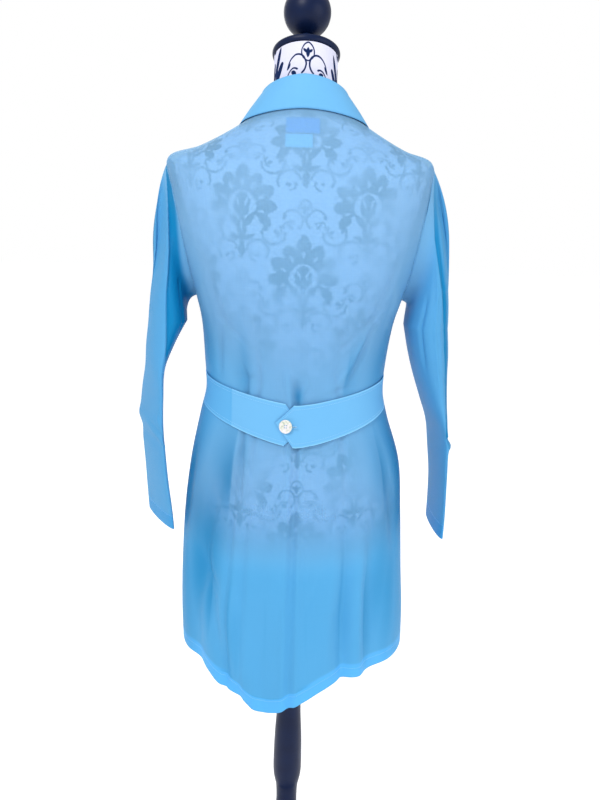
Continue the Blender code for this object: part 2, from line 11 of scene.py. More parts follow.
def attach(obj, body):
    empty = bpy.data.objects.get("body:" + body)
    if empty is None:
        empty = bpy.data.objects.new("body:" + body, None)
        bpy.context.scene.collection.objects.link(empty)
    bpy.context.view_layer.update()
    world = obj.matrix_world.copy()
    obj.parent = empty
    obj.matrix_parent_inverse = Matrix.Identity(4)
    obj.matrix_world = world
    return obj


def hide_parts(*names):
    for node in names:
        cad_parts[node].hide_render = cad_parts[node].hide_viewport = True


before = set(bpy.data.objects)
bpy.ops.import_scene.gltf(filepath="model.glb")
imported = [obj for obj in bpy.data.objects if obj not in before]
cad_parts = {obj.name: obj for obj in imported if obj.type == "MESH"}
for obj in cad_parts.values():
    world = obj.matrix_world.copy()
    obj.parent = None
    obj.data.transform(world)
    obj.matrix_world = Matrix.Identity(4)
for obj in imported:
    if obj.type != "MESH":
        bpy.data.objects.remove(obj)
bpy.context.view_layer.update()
bpy.context.scene.view_settings.view_transform = "Standard"
bpy.context.scene.cycles.transparent_max_bounces = 40


# The form: a padded, limbless body under a smooth white cotton cover, printed in
# navy with an ordinary damask. The cover is pulled tight over the padding and
# tucked in under the neck cap and at the underside.
Ring = namedtuple("Ring", "back_z side_z front_z left right back front square tilt",
                  defaults=(0.0,))
FORM_RINGS = [Ring(*row) for row in (
    (1.421, 1.421, 1.421, 0.0475, 0.0475, 0.0475, 0.0475, 2.0, 0.013),
    (1.388, 1.388, 1.388, 0.0475, 0.0475, 0.0465, 0.0475, 2.0, 0.010),
    (1.361, 1.358, 1.345, 0.0510, 0.0510, 0.0465, 0.0490, 2.0, 0.006),
    (1.345, 1.338, 1.298, 0.0640, 0.0640, 0.0510, 0.0540, 2.0),
    (1.314, 1.3155, 1.260, 0.1100, 0.1080, 0.0740, 0.0760, 2.1),
    (1.276, 1.2925, 1.224, 0.1550, 0.1520, 0.0950, 0.0890, 2.2),
    (1.238, 1.2720, 1.190, 0.1940, 0.1900, 0.1110, 0.0960, 2.3),
    (1.199, 1.224, 1.155, 0.1860, 0.1830, 0.1220, 0.1015, 2.3),
    (1.150, 1.160, 1.120, 0.1690, 0.1670, 0.1290, 0.1075, 2.3),
    (1.098, 1.100, 1.088, 0.1540, 0.1530, 0.1290, 0.1110, 2.3),
    (1.062, 1.062, 1.062, 0.1460, 0.1450, 0.1240, 0.1090, 2.2),
    (1.020, 1.020, 1.020, 0.1350, 0.1330, 0.1130, 0.1030, 2.1),
    (0.970, 0.970, 0.970, 0.1220, 0.1200, 0.0990, 0.0920, 2.0),
    (0.925, 0.925, 0.925, 0.1170, 0.1150, 0.0920, 0.0870, 2.0),
    (0.880, 0.880, 0.880, 0.1260, 0.1240, 0.0990, 0.0910, 2.0),
    (0.806, 0.806, 0.806, 0.1520, 0.1510, 0.1180, 0.1040, 2.1),
    (0.735, 0.735, 0.735, 0.1690, 0.1680, 0.1300, 0.1150, 2.2),
    (0.690, 0.690, 0.690, 0.1680, 0.1670, 0.1280, 0.1130, 2.2),
    (0.665, 0.665, 0.665, 0.1520, 0.1510, 0.1130, 0.1000, 2.2),
    (0.657, 0.657, 0.657, 0.1280, 0.1270, 0.0920, 0.0800, 2.1),
)]
FORM_COLUMNS = 168
FORM_ROWS_PER_RING = 8
CHEST_RING = 9
# The covers of the neck and of the hips are cut on their own, so their prints are
# shifted against the body's
NECK_ROWS, NECK_SHIFT = 18, -0.038
HIP_ROW, HIP_SHIFT = 112, 0.025


def rows_at(table, place):
    """Rows of a table at places between its rows, each column on a smooth curve."""
    values = np.array(table, float)
    last = len(table) - 1
    place = np.clip(np.asarray(place, float), 0, last)
    i = np.minimum(place.astype(int), last - 1)
    t = (place - i)[..., None]
    a, b = values[np.maximum(i - 1, 0)], values[i]
    c, d = values[i + 1], values[np.minimum(i + 2, last)]
    return 0.5 * (2 * b + (c - a) * t + (2 * a - 5 * b + 4 * c - d) * t * t
                  + (3 * b - a - 3 * c + d) * t ** 3)


def ramp(value, start, end):
    """0 before start, 1 after end, and smooth between them."""
    t = np.clip((value - start) / (end - start), 0.0, 1.0)
    return t * t * (3 - 2 * t)


def ring_points(rings, angle):
    """Points of rings; angle 0 is the centre back, 90 degrees the left side."""
    back_z, side_z, front_z, left, right, back, front, power, tilt = np.moveaxis(rings, -1, 0)
    across, along = np.sin(angle), np.cos(angle)
    width = np.where(across > 0, left, right)
    depth = np.where(along > 0, back, front)
    reach = (np.abs(across / width) ** power + np.abs(along / depth) ** power) ** (-1 / power)
    x, y = reach * across, reach * along
    middle_z = np.where(along > 0, back_z, front_z)
    z = side_z + (middle_z - side_z) * (1 - (x / width) ** 2) + tilt * y / depth
    return np.stack([x, y, z], axis=-1)


def grid_faces(rows, columns, closed):
    """Quads of a grid of points, row by row, faces outwards."""
    faces = []
    for r in range(rows - 1):
        for j in range(columns if closed else columns - 1):
            k = (j + 1) % columns
            a, b = r * columns, (r + 1) * columns
            faces.append((a + j, a + k, b + k, b + j))
    return faces


def new_object(name, data):
    """A mesh, lamp or camera put in the scene."""
    obj = bpy.data.objects.new(name, data)
    bpy.context.scene.collection.objects.link(obj)
    return obj


def add_object(name, mesh, material, body="root"):
    """A finished mesh as a piece that rides on its body."""
    mesh.materials.append(material)
    obj = new_object(name, mesh)
    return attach(obj, body)


def make_form_mesh():
    """The cover: a closed loft with a UV map in metres over the cloth, back and front."""
    levels = np.linspace(0, len(FORM_RINGS) - 1, (len(FORM_RINGS) - 1) * FORM_ROWS_PER_RING + 1)
    turns = np.linspace(0, 2 * math.pi, FORM_COLUMNS, endpoint=False)
    points = ring_points(rows_at(FORM_RINGS, levels)[:, None, :], turns[None, :])
    rows, columns = points.shape[:2]
    faces = grid_faces(rows, columns, True)
    faces += [tuple(reversed(range(columns))),
              tuple((rows - 1) * columns + j for j in range(columns))]
    mesh = bpy.data.meshes.new("form_cover")
    mesh.from_pydata(points.reshape(-1, 3).tolist(), [], faces)
    down = np.linalg.norm(np.diff(points, axis=0), axis=2)
    height = -np.concatenate([np.zeros((1, columns)), np.cumsum(down, axis=0)])
    height -= height[CHEST_RING * FORM_ROWS_PER_RING]
    quarter = columns // 4
    steps = np.linalg.norm(np.diff(points, axis=1, append=points[:, :1]), axis=2)
    around = np.zeros((rows, columns))
    for j in range(1, columns // 2):
        around[:, j] = around[:, j - 1] + steps[:, j - 1]
        around[:, -j] = around[:, -j + 1 if j > 1 else 0] - steps[:, -j]
    around[:, columns // 2] = around[:, columns // 2 - 1] + steps[:, columns // 2 - 1]
    front_u = np.zeros((rows, columns))
    middle = columns // 2
    for j in range(1, quarter + 1):
        front_u[:, middle - j] = front_u[:, middle - j + 1] + steps[:, middle - j]
        front_u[:, middle + j] = front_u[:, middle + j - 1] - steps[:, middle + j - 1]
    layer = mesh.uv_layers.new(name="cloth")
    for polygon in mesh.polygons:
        for loop in polygon.loop_indices:
            r, j = divmod(mesh.loops[loop].vertex_index, columns)
            first = mesh.loops[polygon.loop_start].vertex_index % columns
            at_front = quarter <= first < columns - quarter
            u = front_u[r, j] if at_front else around[r, j]
            row = mesh.loops[polygon.loop_start].vertex_index // columns
            shift = NECK_SHIFT if row < NECK_ROWS else HIP_SHIFT if row >= HIP_ROW else 0.0
            layer.data[loop].uv = (u, height[r, j] + shift)
    mesh.shade_smooth()
    mesh.set_sharp_from_angle(angle=math.radians(60))
    return mesh


def new_group(name, inputs, outputs):
    """A shader node group; inputs and outputs are (name, kind, default) rows."""
    tree = bpy.data.node_groups.new(name, "ShaderNodeTree")
    for direction, sockets in (("INPUT", inputs), ("OUTPUT", outputs)):
        for title, kind, default in sockets:
            socket = tree.interface.new_socket(title, in_out=direction,
                                               socket_type="NodeSocket" + kind)
            if default is not None:
                socket.default_value = default
    return tree, tree.nodes.new("NodeGroupInput").outputs, tree.nodes.new("NodeGroupOutput").inputs


def node(tree, kind, inputs=(), **settings):
    """A shader node; inputs are values or sockets, by position or, in a dict, by name."""
    made = tree.nodes.new("ShaderNode" + kind)
    for name, value in settings.items():
        setattr(made, name, value)
    pairs = inputs.items() if isinstance(inputs, dict) else enumerate(inputs)
    for key, value in pairs:
        if isinstance(value, bpy.types.NodeSocket):
            tree.links.new(value, made.inputs[key])
        elif value is not None:
            made.inputs[key].default_value = value
    return made


def maths(tree, operation, *values):
    """One step of arithmetic on numbers."""
    return node(tree, "Math", values, operation=operation).outputs[0]


def noise(tree, place, scale, detail, **more):
    """A noise texture at a place."""
    return node(tree, "TexNoise", {"Vector": place, "Scale": scale, "Detail": detail, **more})


def mixed(tree, share, a, b):
    """Two colours mixed; each is a socket or red, green and blue."""
    a, b = ((*colour, 1) if isinstance(colour, tuple) else colour for colour in (a, b))
    return node(tree, "Mix", {"Factor": share, "A": a, "B": b}, data_type="RGBA").outputs[2]


def set_shader(tree, shader, colour, bump, **values):
    """The colour, the bump (strength, distance, height) and plain inputs of a shader."""
    tree.links.new(colour, shader.inputs["Base Color"])
    for name, value in values.items():
        shader.inputs[name.replace("_", " ")].default_value = value
    raised = node(tree, "Bump", dict(zip(("Strength", "Distance", "Height"), bump)))
    tree.links.new(raised.outputs[0], shader.inputs["Normal"])


def use_group(tree, group, **inputs):
    """A group placed in a tree, with values or sockets for its named inputs."""
    made = tree.nodes.new("ShaderNodeGroup")
    made.node_tree = group
    for name, value in inputs.items():
        title = name.replace("_", " ")
        if isinstance(value, bpy.types.NodeSocket):
            tree.links.new(value, made.inputs[title])
        else:
            made.inputs[title].default_value = value
    return made.outputs


def motif_group(name, *more):
    """A group for one motif, with the place as seen from it, whole and in parts."""
    tree, given, result = new_group(
        name,
        [("Place", "Vector", None), ("Centre", "Vector", None), ("Turn", "Float", 0.0),
         ("Half length", "Float", 0.01), ("Half width", "Float", 0.004), *more],
        [("Distance", "Float", None)])
    offset = node(tree, "VectorMath", (given["Place"], given["Centre"]), operation="SUBTRACT")
    back = maths(tree, "MULTIPLY", given["Turn"], -math.pi / 180)
    turned = node(tree, "VectorRotate", {"Vector": offset.outputs[0], "Angle": back},
                  rotation_type="Z_AXIS").outputs[0]
    return tree, given, result, turned, node(tree, "SeparateXYZ", (turned,)).outputs


def leaf_group():
    """Signed distance to a pointed leaf, or a disc where it is as wide as long."""
    tree, given, result, _, parts = motif_group("damask_leaf")
    square = maths(tree, "SUBTRACT",
                   maths(tree, "POWER", given["Half length"], 2.0),
                   maths(tree, "POWER", given["Half width"], 2.0))
    centre = maths(tree, "DIVIDE", square, maths(tree, "MULTIPLY", given["Half width"], 2.0))
    side = maths(tree, "ADD", maths(tree, "ABSOLUTE", parts[1]), centre)
    away = maths(tree, "SQRT", maths(tree, "ADD", maths(tree, "POWER", parts[0], 2.0),
                                     maths(tree, "POWER", side, 2.0)))
    radius = maths(tree, "ADD", centre, given["Half width"])
    tree.links.new(maths(tree, "SUBTRACT", away, radius), result["Distance"])
    return tree


def scroll_group():
    """Signed distance to a C scroll: a ring with an opening cut out of it."""
    tree, given, result, turned, parts = motif_group(
        "damask_scroll", ("Opening", "Float", 60.0))
    away = node(tree, "VectorMath", (turned,), operation="LENGTH").outputs["Value"]
    ring = maths(tree, "ABSOLUTE", maths(tree, "SUBTRACT", away, given["Half length"]))
    ring = maths(tree, "SUBTRACT", ring, given["Half width"])
    edge = maths(tree, "COSINE", maths(tree, "RADIANS", given["Opening"]))
    cut = maths(tree, "SUBTRACT", parts[0], maths(tree, "MULTIPLY", away, edge))
    tree.links.new(maths(tree, "MAXIMUM", ring, cut), result["Distance"])
    return tree


# The damask's repeat, in metres from the middle of a medallion. The left half mirrors
# the right one, medallions stand in half-drop rows, and a gap is cut out of what
# comes before it. The chain of scrolls between the medallions belongs to two of them.
REPEAT_WIDTH, REPEAT_HEIGHT = 0.180, 0.198
Motif = namedtuple("Motif", "kind x y turn long wide opening", defaults=(0,))
MEDALLION = [Motif(*row) for row in (
    ("scroll", 0.0000, -0.0034, 270, 0.0302, 0.0095, 58),
    ("leaf", 0.0000, 0.0392, 90, 0.0190, 0.0106), ("leaf", 0.0190, 0.0302, 62, 0.0134, 0.0101),
    ("leaf", 0.0347, 0.0157, 34, 0.0134, 0.0095), ("leaf", 0.0392, -0.0045, -4, 0.0123, 0.0090),
    ("leaf", 0.0336, -0.0235, -50, 0.0134, 0.0073), ("gap", 0.0000, 0.0291, 90, 0.0052, 0.0023),
    ("gap", 0.0168, 0.0235, 58, 0.0050, 0.0021), ("gap", 0.0280, 0.0078, 25, 0.0050, 0.0021),
    ("gap", 0.0291, -0.0123, -15, 0.0048, 0.0018), ("leaf", 0.0000, -0.0022, 90, 0.0185, 0.0123),
    ("gap", 0.0062, 0.0022, 68, 0.0078, 0.0016), ("leaf", 0.0112, -0.0224, 48, 0.0140, 0.0052),
    ("leaf", 0.0000, -0.0347, 90, 0.0202, 0.0072), ("gap", 0.0000, -0.0302, 90, 0.0073, 0.0013),
    ("leaf", 0.0101, -0.0470, 20, 0.0112, 0.0043), ("leaf", 0.0000, -0.0627, 90, 0.0134, 0.0052),
)]
CHAIN = [Motif(*row) for row in (
    ("leaf", 0.0000, 0.0925, 90, 0.0130, 0.0100), ("gap", 0.0000, 0.0925, 90, 0.0108, 0.0081),
    ("leaf", 0.0000, 0.0915, 90, 0.0070, 0.0030), ("leaf", 0.0036, 0.0935, 42, 0.0042, 0.0020),
    ("leaf", 0.0000, -0.1055, 90, 0.0130, 0.0100), ("gap", 0.0000, -0.1055, 90, 0.0108, 0.0081),
    ("leaf", 0.0000, -0.1055, 90, 0.0060, 0.0030),
    ("scroll", 0.0165, 0.0765, 300, 0.0140, 0.0013, 62),
    ("scroll", 0.0215, 0.0655, 250, 0.0085, 0.0012, 105),
    ("leaf", 0.0205, 0.0680, 40, 0.0048, 0.0026), ("leaf", 0.0280, 0.0800, 300, 0.0040, 0.0022),
    ("scroll", 0.0430, 0.0590, 100, 0.0165, 0.0017, 75),
    ("scroll", 0.0400, 0.0620, 20, 0.0080, 0.0014, 110),
    ("leaf", 0.0380, 0.0600, 20, 0.0046, 0.0026), ("leaf", 0.0545, 0.0640, 60, 0.0060, 0.0030),
    ("scroll", 0.0665, 0.0330, 290, 0.0160, 0.0017, 75),
    ("scroll", 0.0690, 0.0270, 150, 0.0075, 0.0014, 110),
    ("leaf", 0.0660, 0.0285, 10, 0.0044, 0.0026),
)]
TWINS = [m._replace(x=REPEAT_WIDTH / 2 - m.x, y=m.y - REPEAT_HEIGHT / 2, turn=180 - m.turn)
         for m in CHAIN]


def damask_group():
    """The printed pattern: Mask is 1 in the ink; Blur is 0 where sharp and 1 where hazy."""
    tree, given, result = new_group(
        "damask", [("Place", "Vector", None), ("Blur", "Float", 0.0)],
        [("Mask", "Float", None)])
    leaf = leaf_group()
    kinds = {"leaf": leaf, "gap": leaf, "scroll": scroll_group()}
    parts = node(tree, "SeparateXYZ", (given["Place"],)).outputs
    across = maths(tree, "DIVIDE", parts[0], REPEAT_WIDTH)
    up = maths(tree, "DIVIDE", parts[1], REPEAT_HEIGHT)
    cells = []
    for shift in (0.0, 0.5):
        cells.append([maths(tree, "SUBTRACT",
                            maths(tree, "FRACT", maths(tree, "ADD", value, shift)), 0.5)
                      for value in (across, up)])
    (a, b), (c, d) = cells
    reach = maths(tree, "ADD", maths(tree, "ABSOLUTE", a), maths(tree, "ABSOLUTE", b))
    other = maths(tree, "GREATER_THAN", reach, 0.5)
    x = node(tree, "Mix", {"Factor": other, "A": a, "B": c}, data_type="FLOAT").outputs[0]
    y = node(tree, "Mix", {"Factor": other, "A": b, "B": d}, data_type="FLOAT").outputs[0]
    local = node(tree, "CombineXYZ", (
        maths(tree, "MULTIPLY", maths(tree, "ABSOLUTE", x), REPEAT_WIDTH),
        maths(tree, "MULTIPLY", y, REPEAT_HEIGHT))).outputs[0]
    nearest = None
    for motif in (*MEDALLION, *CHAIN, *TWINS):
        inputs = dict(Place=local, Centre=(motif.x, motif.y, 0.0), Turn=float(motif.turn),
                      Half_length=motif.long, Half_width=motif.wide)
        if motif.kind == "scroll":
            inputs["Opening"] = float(motif.opening)
        distance = use_group(tree, kinds[motif.kind], **inputs)["Distance"]
        if nearest is None:
            nearest = distance
        elif motif.kind == "gap":
            nearest = maths(tree, "MAXIMUM", nearest, maths(tree, "MULTIPLY", distance, -1.0))
        else:
            nearest = maths(tree, "MINIMUM", nearest, distance)
    soft = maths(tree, "MULTIPLY_ADD", maths(tree, "POWER", given["Blur"], 2.0), 0.0120, 0.0004)
    inside = node(tree, "MapRange", {
        "Value": nearest, "From Min": maths(tree, "MULTIPLY", soft, -1.0), "From Max": soft,
        "To Min": 1.0, "To Max": 0.0}, interpolation_type="SMOOTHSTEP").outputs[0]
    fade = node(tree, "MapRange", {"Value": given["Blur"], "To Min": 1.0, "To Max": 0.22})
    fade = fade.outputs[0]
    tree.links.new(maths(tree, "MULTIPLY", inside, fade), result["Mask"])
    return tree


THREADS_A_METRE = 900.0


def weave_group():
    """Plain weave on a UV map in metres: Height for bump, and uneven threads as Slub."""
    tree, given, result = new_group(
        "plain_weave",
        [("Place", "Vector", None), ("Pitch", "Float", 0.0006), ("Slub length", "Float", 0.04)],
        [("Height", "Float", None), ("Slub", "Float", None)])
    parts = node(tree, "SeparateXYZ", (given["Place"],)).outputs
    turn = maths(tree, "DIVIDE", 2 * math.pi, given["Pitch"])
    waves = [maths(tree, "SINE", maths(tree, "MULTIPLY", part, turn)) for part in parts[:2]]
    cross = maths(tree, "MULTIPLY", waves[0], waves[1])
    tree.links.new(maths(tree, "MULTIPLY_ADD", cross, 0.5, 0.5), result["Height"])
    slubs = []
    along = maths(tree, "DIVIDE", 1.0, given["Slub length"])
    for shape in ((0, 1), (1, 0)):
        scaled = [maths(tree, "MULTIPLY", parts[k], along if shape[k] else THREADS_A_METRE)
                  for k in (0, 1)]
        place = node(tree, "CombineXYZ", (scaled[0], scaled[1])).outputs[0]
        slubs.append(noise(tree, place, 1.0, 1.0).outputs[0])
    tree.links.new(maths(tree, "MULTIPLY", maths(tree, "ADD", *slubs), 0.5), result["Slub"])
    return tree


WEAVE = weave_group()


def new_material(name):
    """A node material, its tree and its main shader."""
    material = bpy.data.materials.new(name)
    material.use_nodes = True
    return material, material.node_tree, material.node_tree.nodes["Principled BSDF"]


# How far the ink's edge strays, in metres, where hazy (on top) and where sharp, and how
# unevenly the haze lies
JAGGED_HAZY, JAGGED_SHARP = 0.012, 0.0015
PATCHINESS = 0.95


def cover_material():
    """White cotton with the navy print, hazy where the dress stands off it."""
    material, tree, shader = new_material("damask_cotton")
    place = node(tree, "UVMap", uv_map="cloth").outputs[0]
    shifted = node(tree, "VectorMath", (place, (0.0020, -0.0140, 0.0)),
                   operation="ADD").outputs[0]
    wobble = noise(tree, place, 120.0, 1.0)
    haze = node(tree, "Attribute", attribute_name="haze").outputs["Fac"]
    jagged = maths(tree, "MULTIPLY_ADD", haze, JAGGED_HAZY, JAGGED_SHARP)
    rough_edge = node(tree, "VectorMath", {0: wobble.outputs[1], 3: jagged}, operation="SCALE")
    shifted = node(tree, "VectorMath", (shifted, rough_edge.outputs[0]),
                   operation="ADD").outputs[0]
    patches = noise(tree, place, 17.0, 2.0).outputs[0]
    uneven = maths(tree, "MULTIPLY_ADD", patches, 2 * PATCHINESS, -PATCHINESS)
    under = maths(tree, "MINIMUM", maths(tree, "MULTIPLY", haze, 8.0), 1.0)
    blur = maths(tree, "MINIMUM", 1.0, maths(
        tree, "MAXIMUM", 0.0, maths(tree, "MULTIPLY_ADD", uneven, under, haze)))
    ink = use_group(tree, damask_group(), Place=shifted, Blur=blur)["Mask"]
    weave = use_group(tree, WEAVE, Place=place, Pitch=0.0007)
    cotton = mixed(tree, weave["Slub"], (0.64, 0.64, 0.79), (0.70, 0.70, 0.85))
    set_shader(tree, shader, mixed(tree, ink, cotton, (0.002, 0.016, 0.080)),
               (0.25, 0.0002, weave["Height"]), Roughness=0.82, Specular_IOR_Level=0.15)
    return material


form_cover = add_object("form_cover", make_form_mesh(), cover_material())
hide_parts("form_torso")


# Turned wood: the neck cap with its ball, the pole and the round foot, turned on
# a lathe and lacquered blue-black. The cap is screwed on the form's neck at its tilt,
# and the pole stands in the foot.
CAP_PROFILE = (
    (0.0000, 0.0300), (0.0100, 0.0300), (0.0125, 0.0240), (0.0160, 0.0170),
    (0.0260, 0.0105), (0.0400, 0.0070), (0.0495, 0.0050), (0.0510, 0.0000),
    (0.0485, -0.0060), (0.0000, -0.0060),
)
BALL_RADIUS, BALL_FOOT = 0.0355, 0.0085
POLE_PROFILE = (
    (0.0000, 0.6565), (0.0170, 0.6565), (0.0170, 0.600), (0.0180, 0.560), (0.0180, 0.440),
    (0.0200, 0.400), (0.0215, 0.350), (0.0220, 0.310), (0.0250, 0.262), (0.0262, 0.215),
    (0.0262, 0.182), (0.0235, 0.166), (0.0200, 0.152), (0.0190, 0.118), (0.0205, 0.095),
    (0.0250, 0.075), (0.0270, 0.060), (0.0270, 0.0453), (0.0000, 0.0453),
)
BASE_PROFILE = (
    (0.0000, 0.045), (0.0380, 0.045), (0.0430, 0.041), (0.0460, 0.035), (0.0680, 0.031),
    (0.0900, 0.025), (0.1000, 0.019), (0.1050, 0.012), (0.1050, 0.004), (0.1020, 0.000),
    (0.0000, 0.000),
)
NECK_TOP, NECK_TILT, NECK_BACK = 1.421, 0.013, 0.0475
REST_GAP = 0.0003
TURN_STEPS = 96


def rounded(profile, passes=3):
    """A profile with its corners cut again and again, as a lathe's tool leaves them."""
    points = [Vector(p) for p in profile]
    for _ in range(passes):
        cut = [points[0]]
        for a, b in zip(points, points[1:]):
            cut += [a.lerp(b, 0.25), a.lerp(b, 0.75)]
        points = cut + [points[-1]]
    return [(p.x, p.y) for p in points]


def plain_mesh(obj, name):
    """What an object's modifiers make of it, as a mesh; the object goes."""
    graph = bpy.context.evaluated_depsgraph_get()
    mesh = bpy.data.meshes.new_from_object(obj.evaluated_get(graph))
    mesh.name = name
    bpy.data.objects.remove(obj, do_unlink=True)
    return mesh


def turned_mesh(name, profile, steps=TURN_STEPS, place=Matrix.Identity(4)):
    """A profile down the outer side at +X, spun round Z and put in its place."""
    mesh = bpy.data.meshes.new(name)
    mesh.from_pydata([(x, 0, z) for x, z in profile],
                     [(k, k + 1) for k in range(len(profile) - 1)], [])
    obj = new_object(name, mesh)
    spin = obj.modifiers.new("turn", "SCREW")
    spin.steps = spin.render_steps = steps
    spin.use_merge_vertices = True
    spin.merge_threshold = 0.00001
    made = plain_mesh(obj, name)
    made.transform(place)
    made.shade_smooth()
    made.set_sharp_from_angle(angle=math.radians(50))
    return made


def lacquer_material():
    """Blue-black lacquer over turned wood: faint rings, brush marks and rubbed patches."""
    material, tree, shader = new_material("black_lacquer")
    place = node(tree, "TexCoord").outputs["Object"]
    stretched = node(tree, "Mapping", {"Vector": place, "Scale": (22.0, 22.0, 260.0)}).outputs[0]
    rings = noise(tree, stretched, 1.0, 3.0).outputs[0]
    patches = noise(tree, place, 38.0, 4.0).outputs[0]
    colour = mixed(tree, patches, (0.0008, 0.010, 0.052), (0.0020, 0.006, 0.028))
    set_shader(tree, shader, colour, (0.25, 0.0004, rings), Specular_IOR_Level=0.18)
    rough = node(tree, "MapRange", {"Value": patches, "To Min": 0.30, "To Max": 0.48})
    tree.links.new(rough.outputs[0], shader.inputs["Roughness"])
    return material


LACQUER = lacquer_material()
tilt = math.atan2(NECK_TILT, NECK_BACK)
upright = Matrix.Rotation(tilt, 4, "X")
up = upright.to_3x3() @ Vector((0, 0, 1))
cap_place = Vector((0, 0, NECK_TOP)) + up * (REST_GAP - CAP_PROFILE[-1][1])
ball_flat = -math.sqrt(BALL_RADIUS ** 2 - BALL_FOOT ** 2)
ball_place = cap_place + up * (CAP_PROFILE[0][1] + REST_GAP - ball_flat)
stop = math.acos(ball_flat / BALL_RADIUS)
ball = [(BALL_RADIUS * math.sin(stop * k / 40), BALL_RADIUS * math.cos(stop * k / 40))
        for k in range(41)] + [(0.0, ball_flat)]
for name, node_name, profile, place in (
        ("neck_cap_wood", "neck_cap", rounded(CAP_PROFILE, 2),
         Matrix.Translation(cap_place) @ upright),
        ("finial_wood", "finial", ball, Matrix.Translation(ball_place) @ upright),
        ("pole_wood", "pole", rounded(POLE_PROFILE), Matrix.Identity(4)),
        ("base_wood", "base", rounded(BASE_PROFILE, 2), Matrix.Identity(4))):
    piece = add_object(name, turned_mesh(name, profile, place=place), LACQUER)
    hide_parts(node_name)


# The dress body: three panels of one fine, crisp, sky-blue sheer cloth, a back cut
# in one piece and two fronts, joined at the shoulders and sides. The back hem dips
# like a shirt tail; above and below the belt the fullness falls in soft folds.
CLOTH = 0.0012
THIN = 0.0006
SEAM_GAP, WRAP_GAP, FACE_GAP = 0.0001, 0.0012, 0.0009
CORNER_CUT = 0.3
NECKLINE, SHOULDER_POINT, ARMPIT, WAIST = 0, 3, 7, 10
DRESS_RINGS = [Ring(*row) for row in (
    (1.352, 1.344, 1.300, 0.070, 0.070, 0.058, 0.062, 2.0),
    (1.319, 1.318, 1.262, 0.111, 0.110, 0.079, 0.082, 2.1),
    (1.280, 1.294, 1.225, 0.158, 0.154, 0.100, 0.094, 2.2),
    (1.240, 1.277, 1.190, 0.205, 0.196, 0.116, 0.101, 2.3),
    (1.200, 1.232, 1.155, 0.201, 0.196, 0.127, 0.107, 2.3),
    (1.150, 1.168, 1.120, 0.188, 0.186, 0.134, 0.113, 2.3),
    (1.100, 1.108, 1.088, 0.173, 0.172, 0.135, 0.117, 2.3),
    (1.068, 1.070, 1.064, 0.163, 0.161, 0.132, 0.116, 2.3),
    (1.030, 1.030, 1.030, 0.155, 0.150, 0.126, 0.113, 2.2),
    (0.970, 0.970, 0.970, 0.151, 0.142, 0.114, 0.106, 2.1),
    (0.925, 0.925, 0.925, 0.149, 0.140, 0.109, 0.102, 2.1),
    (0.880, 0.880, 0.880, 0.159, 0.150, 0.114, 0.106, 2.1),
    (0.806, 0.806, 0.806, 0.174, 0.173, 0.129, 0.121, 2.2),
    (0.718, 0.718, 0.718, 0.185, 0.181, 0.138, 0.135, 2.2),
    (0.614, 0.615, 0.613, 0.191, 0.188, 0.147, 0.147, 2.1),
    (0.540, 0.540, 0.535, 0.193, 0.194, 0.154, 0.155, 1.95),
    (0.474, 0.474, 0.462, 0.192, 0.196, 0.160, 0.162, 1.85),
)]
HEM = len(DRESS_RINGS) - 1
TAIL_ANGLE, TAIL_WIDTH, TAIL_DROP, TAIL_LEVEL = 15.0, 27.0, 0.053, 14.0

# Soft folds that run down the body: angle from the centre back at the top and at
# the bottom, half width in degrees, depth (inwards is negative), heights of the ends
Fold = namedtuple("Fold", "start end width depth top bottom")
DRESS_FOLDS = [Fold(*row) for row in (
    (38, 38, 7, -0.0040, 1.010, 0.930), (44, 44, 6, -0.0055, 0.860, 0.640),
    (62, 62, 7, -0.0080, 0.700, 0.300), (40, 40, 8, 0.0060, 0.640, 0.300),
    (18, 18, 9, -0.0050, 0.620, 0.300), (-8, -8, 8, 0.0040, 0.600, 0.300),
    (-30, -30, 7, -0.0060, 0.660, 0.300), (-53, -53, 9, -0.0090, 0.680, 0.300),
    (112, 112, 8, -0.0080, 0.740, 0.300), (138, 138, 9, 0.0060, 0.700, 0.300),
    (-114, -114, 8, -0.0080, 0.720, 0.300), (-140, -140, 9, 0.0060, 0.680, 0.300),
    (128, 128, 7, -0.0050, 1.050, 0.860), (-128, -128, 7, -0.0050, 1.050, 0.860),
)]
